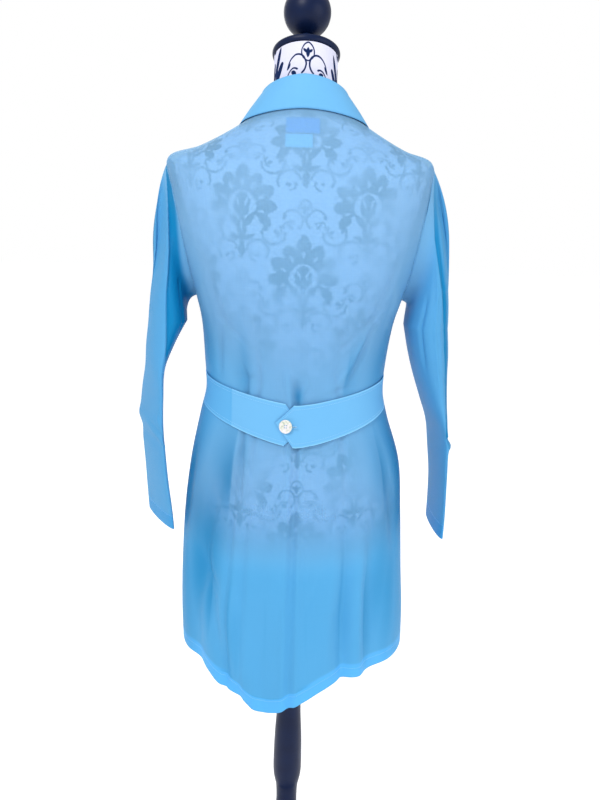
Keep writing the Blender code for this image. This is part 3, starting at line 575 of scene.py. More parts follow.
# Sharper creases, in the same terms
DRESS_CREASES = [Fold(*row) for row in (
    (27, 30, 2.2, -0.0030, 1.020, 0.925), (40, 38, 1.6, -0.0042, 0.985, 0.925),
    (3, 0, 2.6, -0.0040, 0.965, 0.920), (-8, -3, 2.0, 0.0022, 0.965, 0.920),
    (9, 5, 2.4, 0.0020, 0.990, 0.920), (-28, -33, 2.6, -0.0024, 1.000, 0.922),
    (-56, -37, 2.6, -0.0040, 1.065, 0.930), (-50, -30, 2.2, 0.0026, 1.050, 0.935),
    (-60, -46, 3.0, -0.0024, 1.160, 1.020), (52, 60, 2.8, -0.0034, 1.060, 0.940),
    (58, 46, 3.4, -0.0022, 1.150, 1.010), (20, 34, 4.0, -0.0016, 1.130, 0.990),
    (-22, -33, 4.0, -0.0016, 1.110, 0.980), (37, 35, 1.6, -0.0050, 0.885, 0.740),
    (33, 30, 2.6, 0.0024, 0.880, 0.730), (50, 60, 4.5, -0.0070, 0.830, 0.560),
    (62, 33, 5.5, -0.0080, 0.720, 0.430), (44, 22, 5.0, 0.0040, 0.700, 0.430),
    (33, 25, 3.4, -0.0026, 0.600, 0.440), (-4, -10, 5.0, -0.0026, 0.790, 0.520),
    (8, 12, 6.0, 0.0030, 0.840, 0.560), (-24, -22, 5.0, 0.0036, 0.800, 0.480),
    (-33, -34, 4.0, -0.0058, 0.740, 0.430), (-41, -42, 4.0, 0.0030, 0.740, 0.440),
    (-52, -47, 4.5, -0.0056, 0.800, 0.450), (-60, -68, 4.0, -0.0044, 0.880, 0.640),
    (72, 76, 4.0, -0.0034, 0.860, 0.660), (-16, -10, 2.2, -0.0012, 0.660, 0.590),
    (106, 118, 4.0, -0.0038, 0.900, 0.640), (128, 134, 3.4, -0.0030, 0.860, 0.560),
    (150, 146, 4.2, -0.0024, 0.780, 0.520), (-104, -112, 4.0, -0.0034, 0.880, 0.620),
    (-126, -134, 3.6, -0.0030, 0.840, 0.540), (-152, -148, 4.2, -0.0024, 0.800, 0.520),
    (120, 132, 3.2, -0.0024, 1.150, 1.000), (-122, -130, 3.4, -0.0024, 1.140, 1.000),
    (142, 150, 2.8, 0.0018, 1.060, 0.940), (-144, -150, 2.8, 0.0018, 1.050, 0.930),
)]
# Creases that run across: height at two angles, half width and depth in metres
Drag = namedtuple("Drag", "start start_z end end_z width depth")
DRESS_DRAGS = [Drag(*row) for row in (
    (-64, 1.085, -22, 0.985, 0.0060, -0.0018), (-58, 1.040, -30, 0.975, 0.0045, 0.0014),
    (60, 1.060, 30, 1.000, 0.0060, -0.0016), (-50, 0.945, -20, 0.935, 0.0045, -0.0018),
    (24, 0.950, 52, 0.962, 0.0045, -0.0016), (-16, 0.640, 12, 0.652, 0.0060, -0.0010),
    (-34, 0.596, -10, 0.590, 0.0040, 0.0010), (40, 0.610, 62, 0.655, 0.0050, -0.0020),
    (110, 1.045, 150, 1.000, 0.0060, -0.0014), (-110, 1.045, -150, 0.995, 0.0060, -0.0014),
)]


def signed(degrees):
    """Angles brought between -180 and 180 degrees."""
    return (degrees + 180) % 360 - 180


def unit(vectors):
    """Vectors with their length brought to 1."""
    return vectors / np.linalg.norm(vectors, axis=-1, keepdims=True)


def push_of(angle, z):
    """How far the folds move the dress body out, at angles in radians and heights."""
    push = np.zeros(np.broadcast(angle, z).shape)
    degrees = np.degrees(angle)
    for fold in DRESS_FOLDS:
        turn = signed(degrees - fold.start)
        fade = (1 - ramp(z, fold.top - 0.08, fold.top)) * ramp(z, fold.bottom, fold.bottom + 0.08)
        push += fold.depth * fade * np.exp(-(turn / fold.width) ** 2)
    for number, fold in enumerate(DRESS_CREASES):
        t = np.clip((fold.top - z) / (fold.top - fold.bottom), 0, 1)
        line = fold.start + (fold.end - fold.start) * t + 0.8 * np.sin(7 * t + number)
        turn = signed(degrees - line)
        open_end = 1.0 if fold.bottom < 0.45 else 1 - ramp(t, 0.7, 1.0)
        into_belt = 1.0 if 0.91 < fold.bottom < 0.93 else open_end
        fade = ramp(t, 0.0, 0.35 if fold.top < 0.88 else 0.5) * into_belt
        push += fold.depth * fade * np.exp(-(turn / fold.width) ** 2)
    for drag in DRESS_DRAGS:
        t = (degrees - drag.start) / (drag.end - drag.start)
        line = drag.start_z + (drag.end_z - drag.start_z) * t + 0.002 * np.sin(5 * t)
        fade = ramp(t, 0.0, 0.4) * (1 - ramp(t, 0.6, 1.0))
        push += drag.depth * fade * np.exp(-((z - line) / drag.width) ** 2)
    return push


def body(angle, level, folded=True):
    """Points of the dress body's outer face, with its folds or as if pulled smooth."""
    angle, level = np.broadcast_arrays(np.asarray(angle, float), np.asarray(level, float))
    points = ring_points(rows_at(DRESS_RINGS, level), angle)
    degrees = signed(np.degrees(angle))
    dip = np.exp(-((degrees - TAIL_ANGLE) / TAIL_WIDTH) ** 2)
    points[..., 2] -= TAIL_DROP * dip * ramp(level, TAIL_LEVEL, HEM)
    if folded:
        points[..., :2] += unit(points[..., :2]) * push_of(angle, points[..., 2])[..., None]
    return points


def off_body(angle, level, lift, folded=True):
    """Points moved out from the dress body, or in where the lift is negative."""
    angle, level = np.broadcast_arrays(np.asarray(angle, float), np.asarray(level, float))
    step = 0.004
    around = body(angle + step, level, folded) - body(angle - step, level, folded)
    low, high = np.maximum(level - step, 0), np.minimum(level + step, HEM)
    normal = unit(np.cross(around, body(angle, high, folded) - body(angle, low, folded)))
    return body(angle, level, folded) + normal * np.asarray(lift)[..., None]


def level_at(height, angle):
    """Levels where the dress body has a height, at angles."""
    height, angle = np.broadcast_arrays(np.asarray(height, float), np.asarray(angle, float))
    low, high = np.zeros(height.shape), np.full(height.shape, float(HEM))
    for _ in range(30):
        middle = (low + high) / 2
        above = ring_points(rows_at(DRESS_RINGS, middle), angle)[..., 2] > height
        low, high = np.where(above, middle, low), np.where(above, high, middle)
    return (low + high) / 2


def angle_at(x, level):
    """The angle on the back where the dress body reaches a distance to the side."""
    low, high = 0.0, math.pi / 2
    for _ in range(30):
        middle = (low + high) / 2
        place = ring_points(rows_at(DRESS_RINGS, level), math.copysign(middle, x))
        low, high = (middle, high) if abs(place[0]) < abs(x) else (low, middle)
    return math.copysign(low, x)


def levels_between(first, last, spacing):
    """Levels from one ring to another, spaced evenly over the cloth."""
    levels = []
    for ring in range(first, last):
        ends = ring_points(rows_at(DRESS_RINGS, [ring, ring + 1]), math.radians(45))
        steps = max(1, math.ceil(np.linalg.norm(ends[1] - ends[0]) / spacing))
        levels += [ring + k / steps for k in range(steps)]
    return np.array(levels + [last], float)


def armhole_cut(level, most):
    """How far the armhole cuts back from the side line at levels, in radians."""
    t = (np.asarray(level, float) - SHOULDER_POINT) / (ARMPIT - SHOULDER_POINT)
    inside = (t >= 0) & (t <= 1)
    curve = np.maximum(np.sin(math.pi * np.clip(t, 0, 1)), 0.0) ** 0.55
    return np.where(inside, math.radians(most) * curve + math.radians(CORNER_CUT), 0.0)


def back_edge(level):
    """The angle where the back ends at the side, at levels."""
    return math.pi / 2 - armhole_cut(level, 12.0)


def front_edge(level):
    """The angle where a front starts at the side, at levels."""
    return math.pi / 2 + armhole_cut(level, 22.0)


def seam_trim(level, angle):
    """The angle that half a seam gap takes at places on the dress body."""
    points = body(angle, level)
    return SEAM_GAP / 2 / np.hypot(points[..., 0], points[..., 1])


def cloth_piece(name, points, material, wall=THIN, closed=False, flip=False):
    """Cloth on a grid of outer points, top row first, with a UV map in metres."""
    if flip:
        points = points[:, ::-1]
    rows, columns = points.shape[:2]
    mesh = bpy.data.meshes.new(name)
    mesh.from_pydata(points.reshape(-1, 3).tolist(), [], grid_faces(rows, columns, closed))
    middle = columns // 2
    across = np.linalg.norm(np.diff(points[rows // 2], axis=0), axis=-1)
    u = np.concatenate([[0.0], np.cumsum(across)])
    v = -np.concatenate([[0.0], np.cumsum(
        np.linalg.norm(np.diff(points[:, middle], axis=0), axis=-1))])
    last = u[-1] + np.linalg.norm(points[rows // 2, 0] - points[rows // 2, -1])
    layer = mesh.uv_layers.new(name="cloth")
    for polygon in mesh.polygons:
        around = [mesh.loops[loop].vertex_index % columns for loop in polygon.loop_indices]
        for loop, j in zip(polygon.loop_indices, around):
            wrapped = closed and j == 0 and max(around) == columns - 1
            row = mesh.loops[loop].vertex_index // columns
            layer.data[loop].uv = (last if wrapped else u[j], v[row])
    mesh.shade_smooth()
    obj = add_object(name, mesh, material)
    thicken = obj.modifiers.new("wall", "SOLIDIFY")
    thicken.thickness = wall
    thicken.offset = -1
    return obj


# The colour of the painted light, where the white cover close behind lights the cloth through
PALE = (0.295, 0.555, 0.805)


def cloth_material(name, colour, deep, band, tint=None, rough=0.62):
    """Dyed cloth. One attribute darkens it where folds lie over each other and as painted
    shade in folds, on the sides and low on the skirt; band marks hems, and a painted
    highlight along the belt's edges; lit, where the white cover close behind it lights it
    through; and clear, how much shows between the threads of sheer cloth."""
    material, tree, shader = new_material(name)
    place = node(tree, "UVMap", uv_map="cloth").outputs[0]
    weave = use_group(tree, WEAVE, Place=place, Pitch=0.0006, Slub_length=0.05)
    soft = noise(tree, place, 9.0, 2.0).outputs[0]
    uneven = maths(tree, "MULTIPLY_ADD", soft, 0.10, maths(tree, "MULTIPLY", weave["Slub"], 0.10))
    dyed = mixed(tree, uneven, colour, deep)
    for attribute, other in (("lit", PALE), ("band", band), ("double", deep)):
        share = node(tree, "Attribute", attribute_name=attribute).outputs["Fac"]
        dyed = mixed(tree, share, dyed, other)
    set_shader(tree, shader, dyed, (0.30, 0.00015, weave["Height"]), Roughness=rough,
               Specular_IOR_Level=0.12)
    if tint:
        through = node(tree, "BsdfTransparent", {"Color": (*tint, 1)})
        clear = node(tree, "Attribute", attribute_name="clear").outputs["Fac"]
        threads = maths(tree, "MULTIPLY_ADD", weave["Slub"], 0.10, 0.95)
        cover = maths(tree, "SUBTRACT", 1.0, maths(tree, "MULTIPLY", clear, threads))
        lamps = node(tree, "LightPath").outputs["Is Shadow Ray"]
        veil = maths(tree, "MULTIPLY", cover, maths(tree, "MULTIPLY_ADD", lamps, -0.55, 1.0))
        both = node(tree, "MixShader", {0: veil, 1: through.outputs[0], 2: shader.outputs[0]})
        tree.links.new(both.outputs[0], tree.nodes["Material Output"].inputs["Surface"])
    return material


def mark(piece, name, values):
    """Writes one number a vertex on a piece, for its material."""
    layer = piece.data.attributes.new(name, "FLOAT", "POINT")
    layer.data.foreach_set("value", np.asarray(values, np.float32).ravel())


def tree_of(mesh):
    """A search tree over a mesh's faces."""
    bm = bmesh.new()
    bm.from_mesh(mesh)
    tree = BVHTree.FromBMesh(bm)
    bm.free()
    return tree


FORM_TREE = tree_of(form_cover.data)


def clear_of_form(points, least=0.0015):
    """Points with those too near the cover moved off it, and their distances from it."""
    gaps = np.zeros(points.shape[:2])
    for r, j in np.ndindex(gaps.shape):
        point = Vector(points[r, j])
        near, normal, _, far = FORM_TREE.find_nearest(point)
        gap = math.copysign(far, (point - near).dot(normal))
        if gap < least:
            points[r, j] = near + normal * least
        gaps[r, j] = max(gap, least)
    return points, gaps


# DEEP is the dye's darker tone and also the colour of the painted shade
SKY, DEEP, BAND = (0.105, 0.395, 0.715), (0.002, 0.205, 0.460), (0.110, 0.460, 0.900)
SKY_TINT = (0.86, 0.95, 1.0)
# Painted light on the body: up to which gaps the cover lies close behind the cloth, and how much by
# height, more higher up
LIT_GAPS = (0.006, 0.036)
LIT_HEIGHTS = ((0.600, 0.0), (0.660, 0.10), (0.720, 0.36), (0.800, 0.62), (0.880, 0.66),
               (0.960, 0.60), (1.080, 0.66), (1.180, 0.85), (1.400, 0.95))
TOUCH_GAPS, CLEAR_FAR, CLEAR_NEAR = (0.0080, 0.034), 0.03, 0.60


def see_through(gaps):
    """How clear the cloth is: it shows the cover where it lies on it."""
    return CLEAR_NEAR + (CLEAR_FAR - CLEAR_NEAR) * ramp(gaps, *TOUCH_GAPS)


# Painted shade on the body: darker in folds, above the belt, on the sides and low on
# the skirt, and where the cloth lies in two layers. Angle and height of the middle, half
# widths in degrees and metres, and how much; side is 1 or -1 where it lies only on that
# side of a crisp line
Shade = namedtuple("Shade", "angle z wide high much side", defaults=(0,))
BODY_SHADES = [Shade(*row) for row in (
    (80, 0.770, 15, 0.150, 1.00), (60, 0.700, 9, 0.090, 0.70), (-80, 0.780, 16, 0.170, 1.00),
    (-56, 0.800, 6, 0.070, 0.40), (47, 0.640, 8, 0.080, 0.35), (37, 0.840, 3, 0.040, 0.35),
    (38, 0.975, 4, 0.050, 0.40), (70, 1.010, 10, 0.080, 0.55), (-68, 1.000, 11, 0.080, 0.55),
    (-44, 0.995, 6, 0.030, 0.30), (-1, 0.930, 4, 0.018, 0.80), (76, 0.640, 15, 0.260, 0.70),
    (-76, 0.640, 15, 0.260, 0.66), (62, 0.640, 10, 0.110, 0.80), (-64, 0.620, 9, 0.150, 0.65),
    (84, 1.020, 9, 0.130, 0.45), (-84, 1.020, 9, 0.130, 0.45), (42, 0.800, 13, 0.075, 0.80, 1),
    (-58, 0.800, 10, 0.075, 0.70, -1), (37, 0.955, 8, 0.040, 0.55, 1),
    (-36, 0.960, 9, 0.045, 0.50, -1), (54, 0.680, 12, 0.110, 0.85), (-58, 0.640, 11, 0.120, 0.60),
    (50, 0.620, 8, 0.090, 0.85, 1), (35, 0.560, 5, 0.110, 0.55, 1),
    (-47, 0.580, 8, 0.120, 0.60, -1), (-30, 0.600, 4, 0.110, 0.40, -1),
    (14, 0.560, 4, 0.120, 0.30, 1), (-8, 0.560, 4, 0.120, 0.26, -1), (88, 0.560, 16, 0.160, 0.60),
    (-88, 0.560, 16, 0.160, 0.60), (33, 0.540, 7, 0.100, 0.34), (-33, 0.590, 6, 0.120, 0.34),
    (-48, 0.570, 5, 0.120, 0.30), (0, 0.500, 45, 0.110, 0.16), (120, 0.760, 12, 0.150, 0.40),
    (-122, 0.760, 12, 0.150, 0.40),
)]


def body_shade(angle, z):
    """How dark the body's cloth is painted at angles and heights: painted shade, and cloth
    in two layers.
    """
    shade = np.zeros(np.broadcast(angle, z).shape)
    degrees = np.degrees(angle)
    for spot in BODY_SHADES:
        turn = signed(degrees - spot.angle)
        weight = np.exp(-(turn / spot.wide) ** 2 - ((z - spot.z) / spot.high) ** 2)
        if spot.side:
            weight = weight * ramp(turn * spot.side, -0.5, 0.7)
        shade = np.maximum(shade, spot.much * weight)
    return shade


SHEER = cloth_material("sky_blue_voile", SKY, DEEP, BAND, tint=SKY_TINT, rough=0.5)
HEM_DEPTH = 0.024
ALLOWANCE = 0.009
# Painted shade low on the skirt, the darker doubled cloth at the armholes' allowances,
# and a painted shadow along the turned edge of a hem
SKIRT_SHADE, ALLOWANCE_SHADE, HEM_EDGE_SHADE = 0.20, 0.38, 0.45
HEM_EDGE_WIDTH = 0.0009
SHADED_FROM, CLEAR_FROM = (0.640, 0.740), (0.650, 0.750)


def hem_marks(shade, above):
    """A hem's band, and the shade with a painted shadow along its turned edge, at
    heights above the edge.
    """
    band = 1 - ramp(above, HEM_DEPTH - 0.0006, HEM_DEPTH + 0.0006)
    line = np.exp(-((above - HEM_DEPTH) / HEM_EDGE_WIDTH) ** 2)
    return band, np.maximum(shade, HEM_EDGE_SHADE * line)


def dress_panel(name, points, angle, levels, seam, flip=False):
    """A panel of the body with its marks; seam is the distance to its armhole edge."""
    points, gaps = clear_of_form(points)
    # Painted shade over folds, sides and the lower skirt, the darker doubled cloth at the armhole
    # allowances and a painted shadow at the hem's turned edge
    shade = body_shade(angle, points[..., 2])
    shade = np.maximum(shade, SKIRT_SHADE * (1 - ramp(points[..., 2], *SHADED_FROM)))
    at_armhole = ((levels > SHOULDER_POINT) & (levels < ARMPIT))[:, None]
    allowance = 1 - ramp(seam, ALLOWANCE - 0.001, ALLOWANCE + 0.001)
    shade = np.maximum(shade, ALLOWANCE_SHADE * allowance * at_armhole)
    down = np.linalg.norm(np.diff(points, axis=0), axis=-1)
    above = np.concatenate([np.cumsum(down[::-1], axis=0)[::-1], np.zeros((1, down.shape[1]))])
    band, shade = hem_marks(shade, above)
    clear = CLEAR_FAR + (see_through(gaps) - CLEAR_FAR) * ramp(points[..., 2], *CLEAR_FROM)
    clear = clear * (1 - 0.5 * shade)
    piece = cloth_piece(name, points, SHEER, flip=flip)
    heights, amounts = np.array(LIT_HEIGHTS).T
    lit = np.interp(points[..., 2], heights, amounts) * (1 - ramp(gaps, *LIT_GAPS)) * (1 - band)
    for title, values in (("double", shade), ("band", band), ("clear", clear), ("lit", lit)):
        mark(piece, title, values[:, ::-1] if flip else values)
    return piece


# Heights of extra rows at the hem's turned edge, the metres that one level of the last
# ring and one of a sleeve's last section take, and the body's reach at the armholes
TURNED_EDGE = np.array((0.0228, 0.0236, 0.0241, 0.0246, 0.0254))
HEM_LEVEL, CUFF_LEVEL, ARMHOLE_REACH = 0.0677, 0.0375, 0.19
FRONT_COLUMNS, FRONT_END, FLY_ANGLES = 81, 188.0, (165.0, 169.9)


def front_angles(start, end, side):
    """Angles over a front, from the side to its end, and how far it lies underneath."""
    angle = start[:, None] + (math.radians(end) - start)[:, None] * np.linspace(
        0, 1, FRONT_COLUMNS)[None, :]
    return angle, ramp(np.degrees(angle), *FLY_ANGLES) if side > 0 else np.zeros(angle.shape)


levels = levels_between(NECKLINE, HEM, 0.0045)
levels = np.sort(np.concatenate([levels, HEM - TURNED_EDGE / HEM_LEVEL]))
edge = back_edge(levels)
edge = edge - seam_trim(levels, edge)
share = np.linspace(-1, 1, 141)
angle = edge[:, None] * share[None, :]
seam = ARMHOLE_REACH * (edge[:, None] - np.abs(angle))
back_panel = dress_panel("back_panel", body(angle, levels[:, None]), angle, levels, seam)
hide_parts("back")
fronts = []
for side, name, cad in ((1, "front_left_panel", "front_left"),
                        (-1, "front_right_panel", "front_right")):
    start = front_edge(levels)
    start = start + seam_trim(levels, start)
    angle, under = front_angles(start, FRONT_END, side)
    points = off_body(side * angle, levels[:, None], -under * (CLOTH + WRAP_GAP))
    seam = ARMHOLE_REACH * (angle - start[:, None])
    piece = dress_panel(name, points, side * angle, levels, seam, flip=side < 0)
    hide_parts(cad)
    fronts.append(piece)


# Sleeves: long set-in sleeves of the same cloth, sewn into the armholes and closed
# by one seam. They hang empty and nearly flat, with a lengthwise crease from the
# iron and a break at the elbow.
Section = namedtuple("Section", "z out back thick flat turn")
SLEEVE_LEFT = [Section(*row) for row in (
    (1.030, 0.2120, 0.000, 0.0300, 0.070, 15), (0.995, 0.2230, 0.000, 0.0200, 0.071, 17),
    (0.955, 0.2335, -0.001, 0.0115, 0.071, 19), (0.910, 0.2400, -0.002, 0.0095, 0.069, 24),
    (0.865, 0.2425, -0.002, 0.0095, 0.067, 26), (0.820, 0.2400, -0.002, 0.0090, 0.064, 27),
    (0.770, 0.2360, -0.001, 0.0085, 0.062, 28), (0.725, 0.2320, 0.000, 0.0080, 0.061, 30),
    (0.688, 0.2290, 0.001, 0.0075, 0.060, 31),
)]
SLEEVE_RIGHT = [Section(*row) for row in (
    (1.030, 0.2040, 0.000, 0.0340, 0.070, 0), (0.990, 0.2100, 0.000, 0.0310, 0.070, 1),
    (0.950, 0.2160, 0.000, 0.0250, 0.070, 2), (0.905, 0.2250, -0.001, 0.0170, 0.069, 3),
    (0.860, 0.2350, -0.002, 0.0095, 0.067, 4), (0.815, 0.2390, -0.002, 0.0080, 0.065, 3),
    (0.770, 0.2420, -0.001, 0.0070, 0.062, 2), (0.725, 0.2430, 0.000, 0.0070, 0.060, 2),
    (0.687, 0.2425, 0.001, 0.0070, 0.059, 2),
)]
Cap = namedtuple("Cap", "reach start_share end_share")
CAP_LEFT = Cap(0.013, 0.13, 0.36)
CAP_RIGHT = Cap(0.014, 0.18, 0.45)
SLEEVE_START_GAP = 0.0001
ARMHOLE_SPACING = 0.031
ARMHOLE_PARTS = 12
# Creases of a sleeve: place round it in degrees (0 is the outer side, 90 the back,
# 180 the body side) and height at both ends, half width in metres, and depth
SleeveCrease = namedtuple("SleeveCrease", "start start_z end end_z width depth")
LEFT_CREASES = [SleeveCrease(*row) for row in (
    (20, 0.868, 125, 0.838, 0.0032, -0.0030), (10, 0.858, 120, 0.826, 0.0040, 0.0018),
    (55, 0.880, 95, 0.862, 0.0045, 0.0016), (95, 0.850, 90, 0.700, 0.0050, -0.0012),
    (250, 0.900, 290, 0.870, 0.0050, -0.0022), (265, 1.150, 275, 0.900, 0.0060, -0.0020),
    (120, 1.100, 135, 1.010, 0.0050, -0.0024),
)]
RIGHT_CREASES = [SleeveCrease(*row) for row in (
    (20, 0.846, 125, 0.866, 0.0032, -0.0028), (10, 0.836, 120, 0.854, 0.0040, 0.0018),
    (60, 1.180, 62, 0.900, 0.0060, -0.0024), (84, 1.140, 88, 0.920, 0.0050, 0.0016),
    (40, 1.100, 90, 1.075, 0.0040, 0.0016), (112, 1.090, 128, 0.960, 0.0060, -0.0028),
    (95, 0.840, 90, 0.700, 0.0050, -0.0014), (250, 0.880, 292, 0.850, 0.0050, -0.0022),
    (270, 1.150, 268, 0.880, 0.0060, -0.0020),
)]


# How the outer side stands out or falls in at heights
Bulge = namedtuple("Bulge", "z high move")
LEFT_BULGES = (Bulge(1.135, 0.060, -0.0070), Bulge(0.980, 0.045, 0.0040),
               Bulge(0.864, 0.012, 0.0040), Bulge(0.835, 0.010, -0.0030))
RIGHT_BULGES = (Bulge(1.190, 0.050, 0.0020), Bulge(0.846, 0.010, 0.0035),
                Bulge(0.870, 0.012, -0.0015))


def section_points(rings, side, turns):
    """Sleeve sections: flattened rings, from the outer side round by the back."""
    z, out, back, thick, flat, turn = (rings[..., None, k] for k in range(6))
    x, y = side * thick * np.cos(turns), flat * np.sin(turns)
    lean = np.radians(turn)
    return np.stack([side * out + x * np.cos(lean) - y * np.sin(lean),
                     back + x * np.sin(lean) + y * np.cos(lean),
                     z + 0 * x], axis=-1)


def sleeve_points(side, sections, cap, creases, bulges):
    """Outer points of a sleeve, from the armhole to the hem, and the armhole row."""
    coarse = levels_between(SHOULDER_POINT, ARMPIT, ARMHOLE_SPACING)
    last = len(coarse) - 1
    count = 2 * last
    ring = np.arange(count * ARMHOLE_PARTS) / ARMHOLE_PARTS
    level = np.interp(np.where(ring <= last, ring, count - ring), np.arange(last + 1), coarse)
    angle = np.where(ring <= last, back_edge(level), front_edge(level))
    tip = (ring == 0) | (ring == last)
    angle = np.where(tip, math.pi / 2, angle)
    start = body(side * angle, level)
    step = 0.004
    along = np.roll(start, -1, axis=0) - np.roll(start, 1, axis=0)
    around = body(side * angle + step, level) - body(side * angle - step, level)
    normal = unit(np.cross(around, body(side * angle, level + step)
                           - body(side * angle, level - step)))
    out = unit(np.cross(along, normal) * side)
    down = (0.5 - 0.5 * np.cos(2 * math.pi * ring / count))[:, None]
    sideways = np.array(Vector((side, 0, -0.15)).normalized())
    out = unit(out * (1 - down) + sideways * down)
    turns = 2 * math.pi * ring / count
    first = section_points(rows_at(sections, [0.0]), side, turns)[0]
    start = start + out * SLEEVE_START_GAP
    span = np.linalg.norm(first - start, axis=1, keepdims=True)
    leave = start + out * (cap.reach + cap.start_share * span)
    arrive = first + np.array([0, 0, 1.0]) * cap.end_share * span
    t = np.linspace(0, 1, 43)[:-1, None, None]
    s = 1 - t
    head = start * s ** 3 + leave * 3 * s * s * t + arrive * 3 * s * t * t + first * t ** 3
    end = len(sections) - 1
    places = np.sort(np.concatenate([np.linspace(0, end, 97), end - TURNED_EDGE / CUFF_LEVEL]))
    arm = section_points(rows_at(sections, places), side, turns[None, :])
    points = np.concatenate([head, arm])
    normal = np.cross(np.roll(points, -1, axis=1) - np.roll(points, 1, axis=1),
                      np.gradient(points, axis=0))
    normal *= side / np.linalg.norm(normal, axis=2, keepdims=True)
    centre = points.mean(axis=1, keepdims=True)
    if np.sum((points - centre) * normal) < 0:
        normal = -normal
    degrees = np.degrees(turns)[None, :]
    z = points[..., 2]
    push = np.zeros(z.shape)
    for number, crease in enumerate(creases):
        ends = [np.array([crease.start, crease.start_z]), np.array([crease.end, crease.end_z])]
        scale = np.array([0.0012, 1.0])
        way = (ends[1] - ends[0]) * scale
        length = np.linalg.norm(way)
        way = way / length
        turn = signed(degrees - crease.start)
        offset = np.stack([turn * scale[0] + 0 * z, z - crease.start_z], axis=-1)
        t = (offset @ way) / length
        far = offset[..., 0] * way[1] - offset[..., 1] * way[0]
        far = far + 0.002 * np.sin(6 * t + number)
        fade = ramp(t, -0.02, 0.25) * (1 - ramp(t, 0.75, 1.02))
        push += crease.depth * fade * np.exp(-(far / crease.width) ** 2)
    outer = ramp(np.cos(turns)[None, :], 0.0, 0.9)
    for spot in bulges:
        push += spot.move * outer * np.exp(-((z - spot.z) / spot.high) ** 2)
    return points + normal * push[..., None]


# The pressed fold down the back of each sleeve: where it is out from the middle at
# heights, how deep the cloth beyond it steps in, how far the shade runs and how much
SleeveFold = namedtuple("SleeveFold", "z out depth shade_width shade")
LEFT_FOLD = [SleeveFold(*row) for row in (
    (1.300, 0.216, 0.0, 0.010, 0.0), (1.268, 0.2105, 0.0020, 0.016, 1.00),
    (1.200, 0.2050, 0.0045, 0.017, 1.00), (1.139, 0.2010, 0.0055, 0.017, 1.00),
    (1.105, 0.2010, 0.0060, 0.022, 1.00), (1.075, 0.2025, 0.0050, 0.034, 1.00),
    (1.045, 0.2020, 0.0050, 0.100, 1.00), (1.001, 0.2020, 0.0040, 0.100, 1.00),
    (0.961, 0.2060, 0.0020, 0.080, 1.00), (0.935, 0.2080, 0.0, 0.030, 0.35),
    (0.910, 0.2080, 0.0, 0.010, 0.0), (0.650, 0.2200, 0.0, 0.010, 0.0),
)]
RIGHT_FOLD = [SleeveFold(*row) for row in (
    (1.300, 0.2000, 0.0, 0.004, 0.0), (1.220, 0.2000, 0.0014, 0.007, 0.60),
    (1.165, 0.2042, 0.0026, 0.009, 0.90), (1.075, 0.2180, 0.0028, 0.010, 1.00),
    (0.970, 0.2285, 0.0024, 0.010, 1.00), (0.865, 0.2370, 0.0020, 0.008, 0.95),
    (0.840, 0.2440, 0.0, 0.007, 0.30), (0.650, 0.2450, 0.0, 0.006, 0.0),
)]


def fold_sleeve(points, side, folds):
    """Steps the cloth in beyond the pressed fold, towards the body on the left sleeve
    and outwards on the right one, and gives the painted shade beyond the fold, where
    the cloth also lies in two layers."""
    table = np.array(folds)[::-1]
    out, depth, width, shade = (np.interp(points[..., 2], table[:, 0], table[:, k])
                                for k in (1, 2, 3, 4))
    centre = points.mean(axis=1, keepdims=True)
    at_back = ramp(points[..., 1] - centre[..., 1], 0.0, 0.006)
    seen = ramp(points[..., 1] - centre[..., 1], -0.034, -0.022)
    beyond = (out - side * points[..., 0]) * side
    step = ramp(beyond, -0.0006, 0.0006) * at_back
    fall = np.exp(-np.maximum(beyond, 0) / 0.022)
    points = points.copy()
    points[..., 1] -= depth * step * fall
    dark = ramp(beyond, -0.0006, 0.0006) * (1 - 0.75 * ramp(beyond, width * 0.60, width * 1.10))
    return points, shade * dark * seen


# How dark the cuffs look, how clear the sleeves, and how the caps are lit, left and
# right, up to what distance from the armhole
CUFF_SHADE, SLEEVE_CLEAR = 0.50, 0.24
LIT_CAPS, LIT_REACH = {1: 0.62, -1: 0.40}, (0.008, 0.050)

sleeves = []
for side, name, cad, sections, cap, creases, folds, bulges in (
        (1, "sleeve_left_cloth", "sleeve_left", SLEEVE_LEFT, CAP_LEFT, LEFT_CREASES, LEFT_FOLD,
         LEFT_BULGES),
        (-1, "sleeve_right_cloth", "sleeve_right", SLEEVE_RIGHT, CAP_RIGHT, RIGHT_CREASES,
         RIGHT_FOLD, RIGHT_BULGES)):
    points = sleeve_points(side, sections, cap, creases, bulges)
    # Painted shade beyond the pressed fold, where the cloth also lies in two layers
    points, shade = fold_sleeve(points, side, folds)
    piece = cloth_piece(name, points, SHEER, closed=True, flip=side > 0)
    band, shade = hem_marks(shade, points[..., 2] - points[-1:, :, 2])
    shade = np.maximum(shade, CUFF_SHADE * band)
    from_seam = np.linalg.norm(points - points[:1], axis=2)
    lit = LIT_CAPS[side] * (1 - ramp(from_seam, *LIT_REACH))
    for title, values in (("double", shade), ("band", band), ("lit", lit * (1 - shade)),
                          ("clear", SLEEVE_CLEAR * (1 - 0.6 * shade))):
        mark(piece, title, values[:, ::-1] if side > 0 else values)
    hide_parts(cad)
    sleeves.append((piece, points))


# Hems: the lower edges of the skirt and the sleeves are turned up about 24 mm on
# the inside and stitched, so the cloth lies double there and shows less through.
HEM_CLOTH = cloth_material("hem_cloth", BAND, DEEP, BAND, tint=SKY_TINT)
HEM_WALL, HEM_CLEAR, SLEEVE_HEM_ROWS = 0.0004, 0.20, 12


def hem_levels(depth):
    """Levels of a hem's inner layer, near enough one depth above the lower edge."""
    return np.linspace(HEM - depth / HEM_LEVEL, HEM - 0.004, 9)


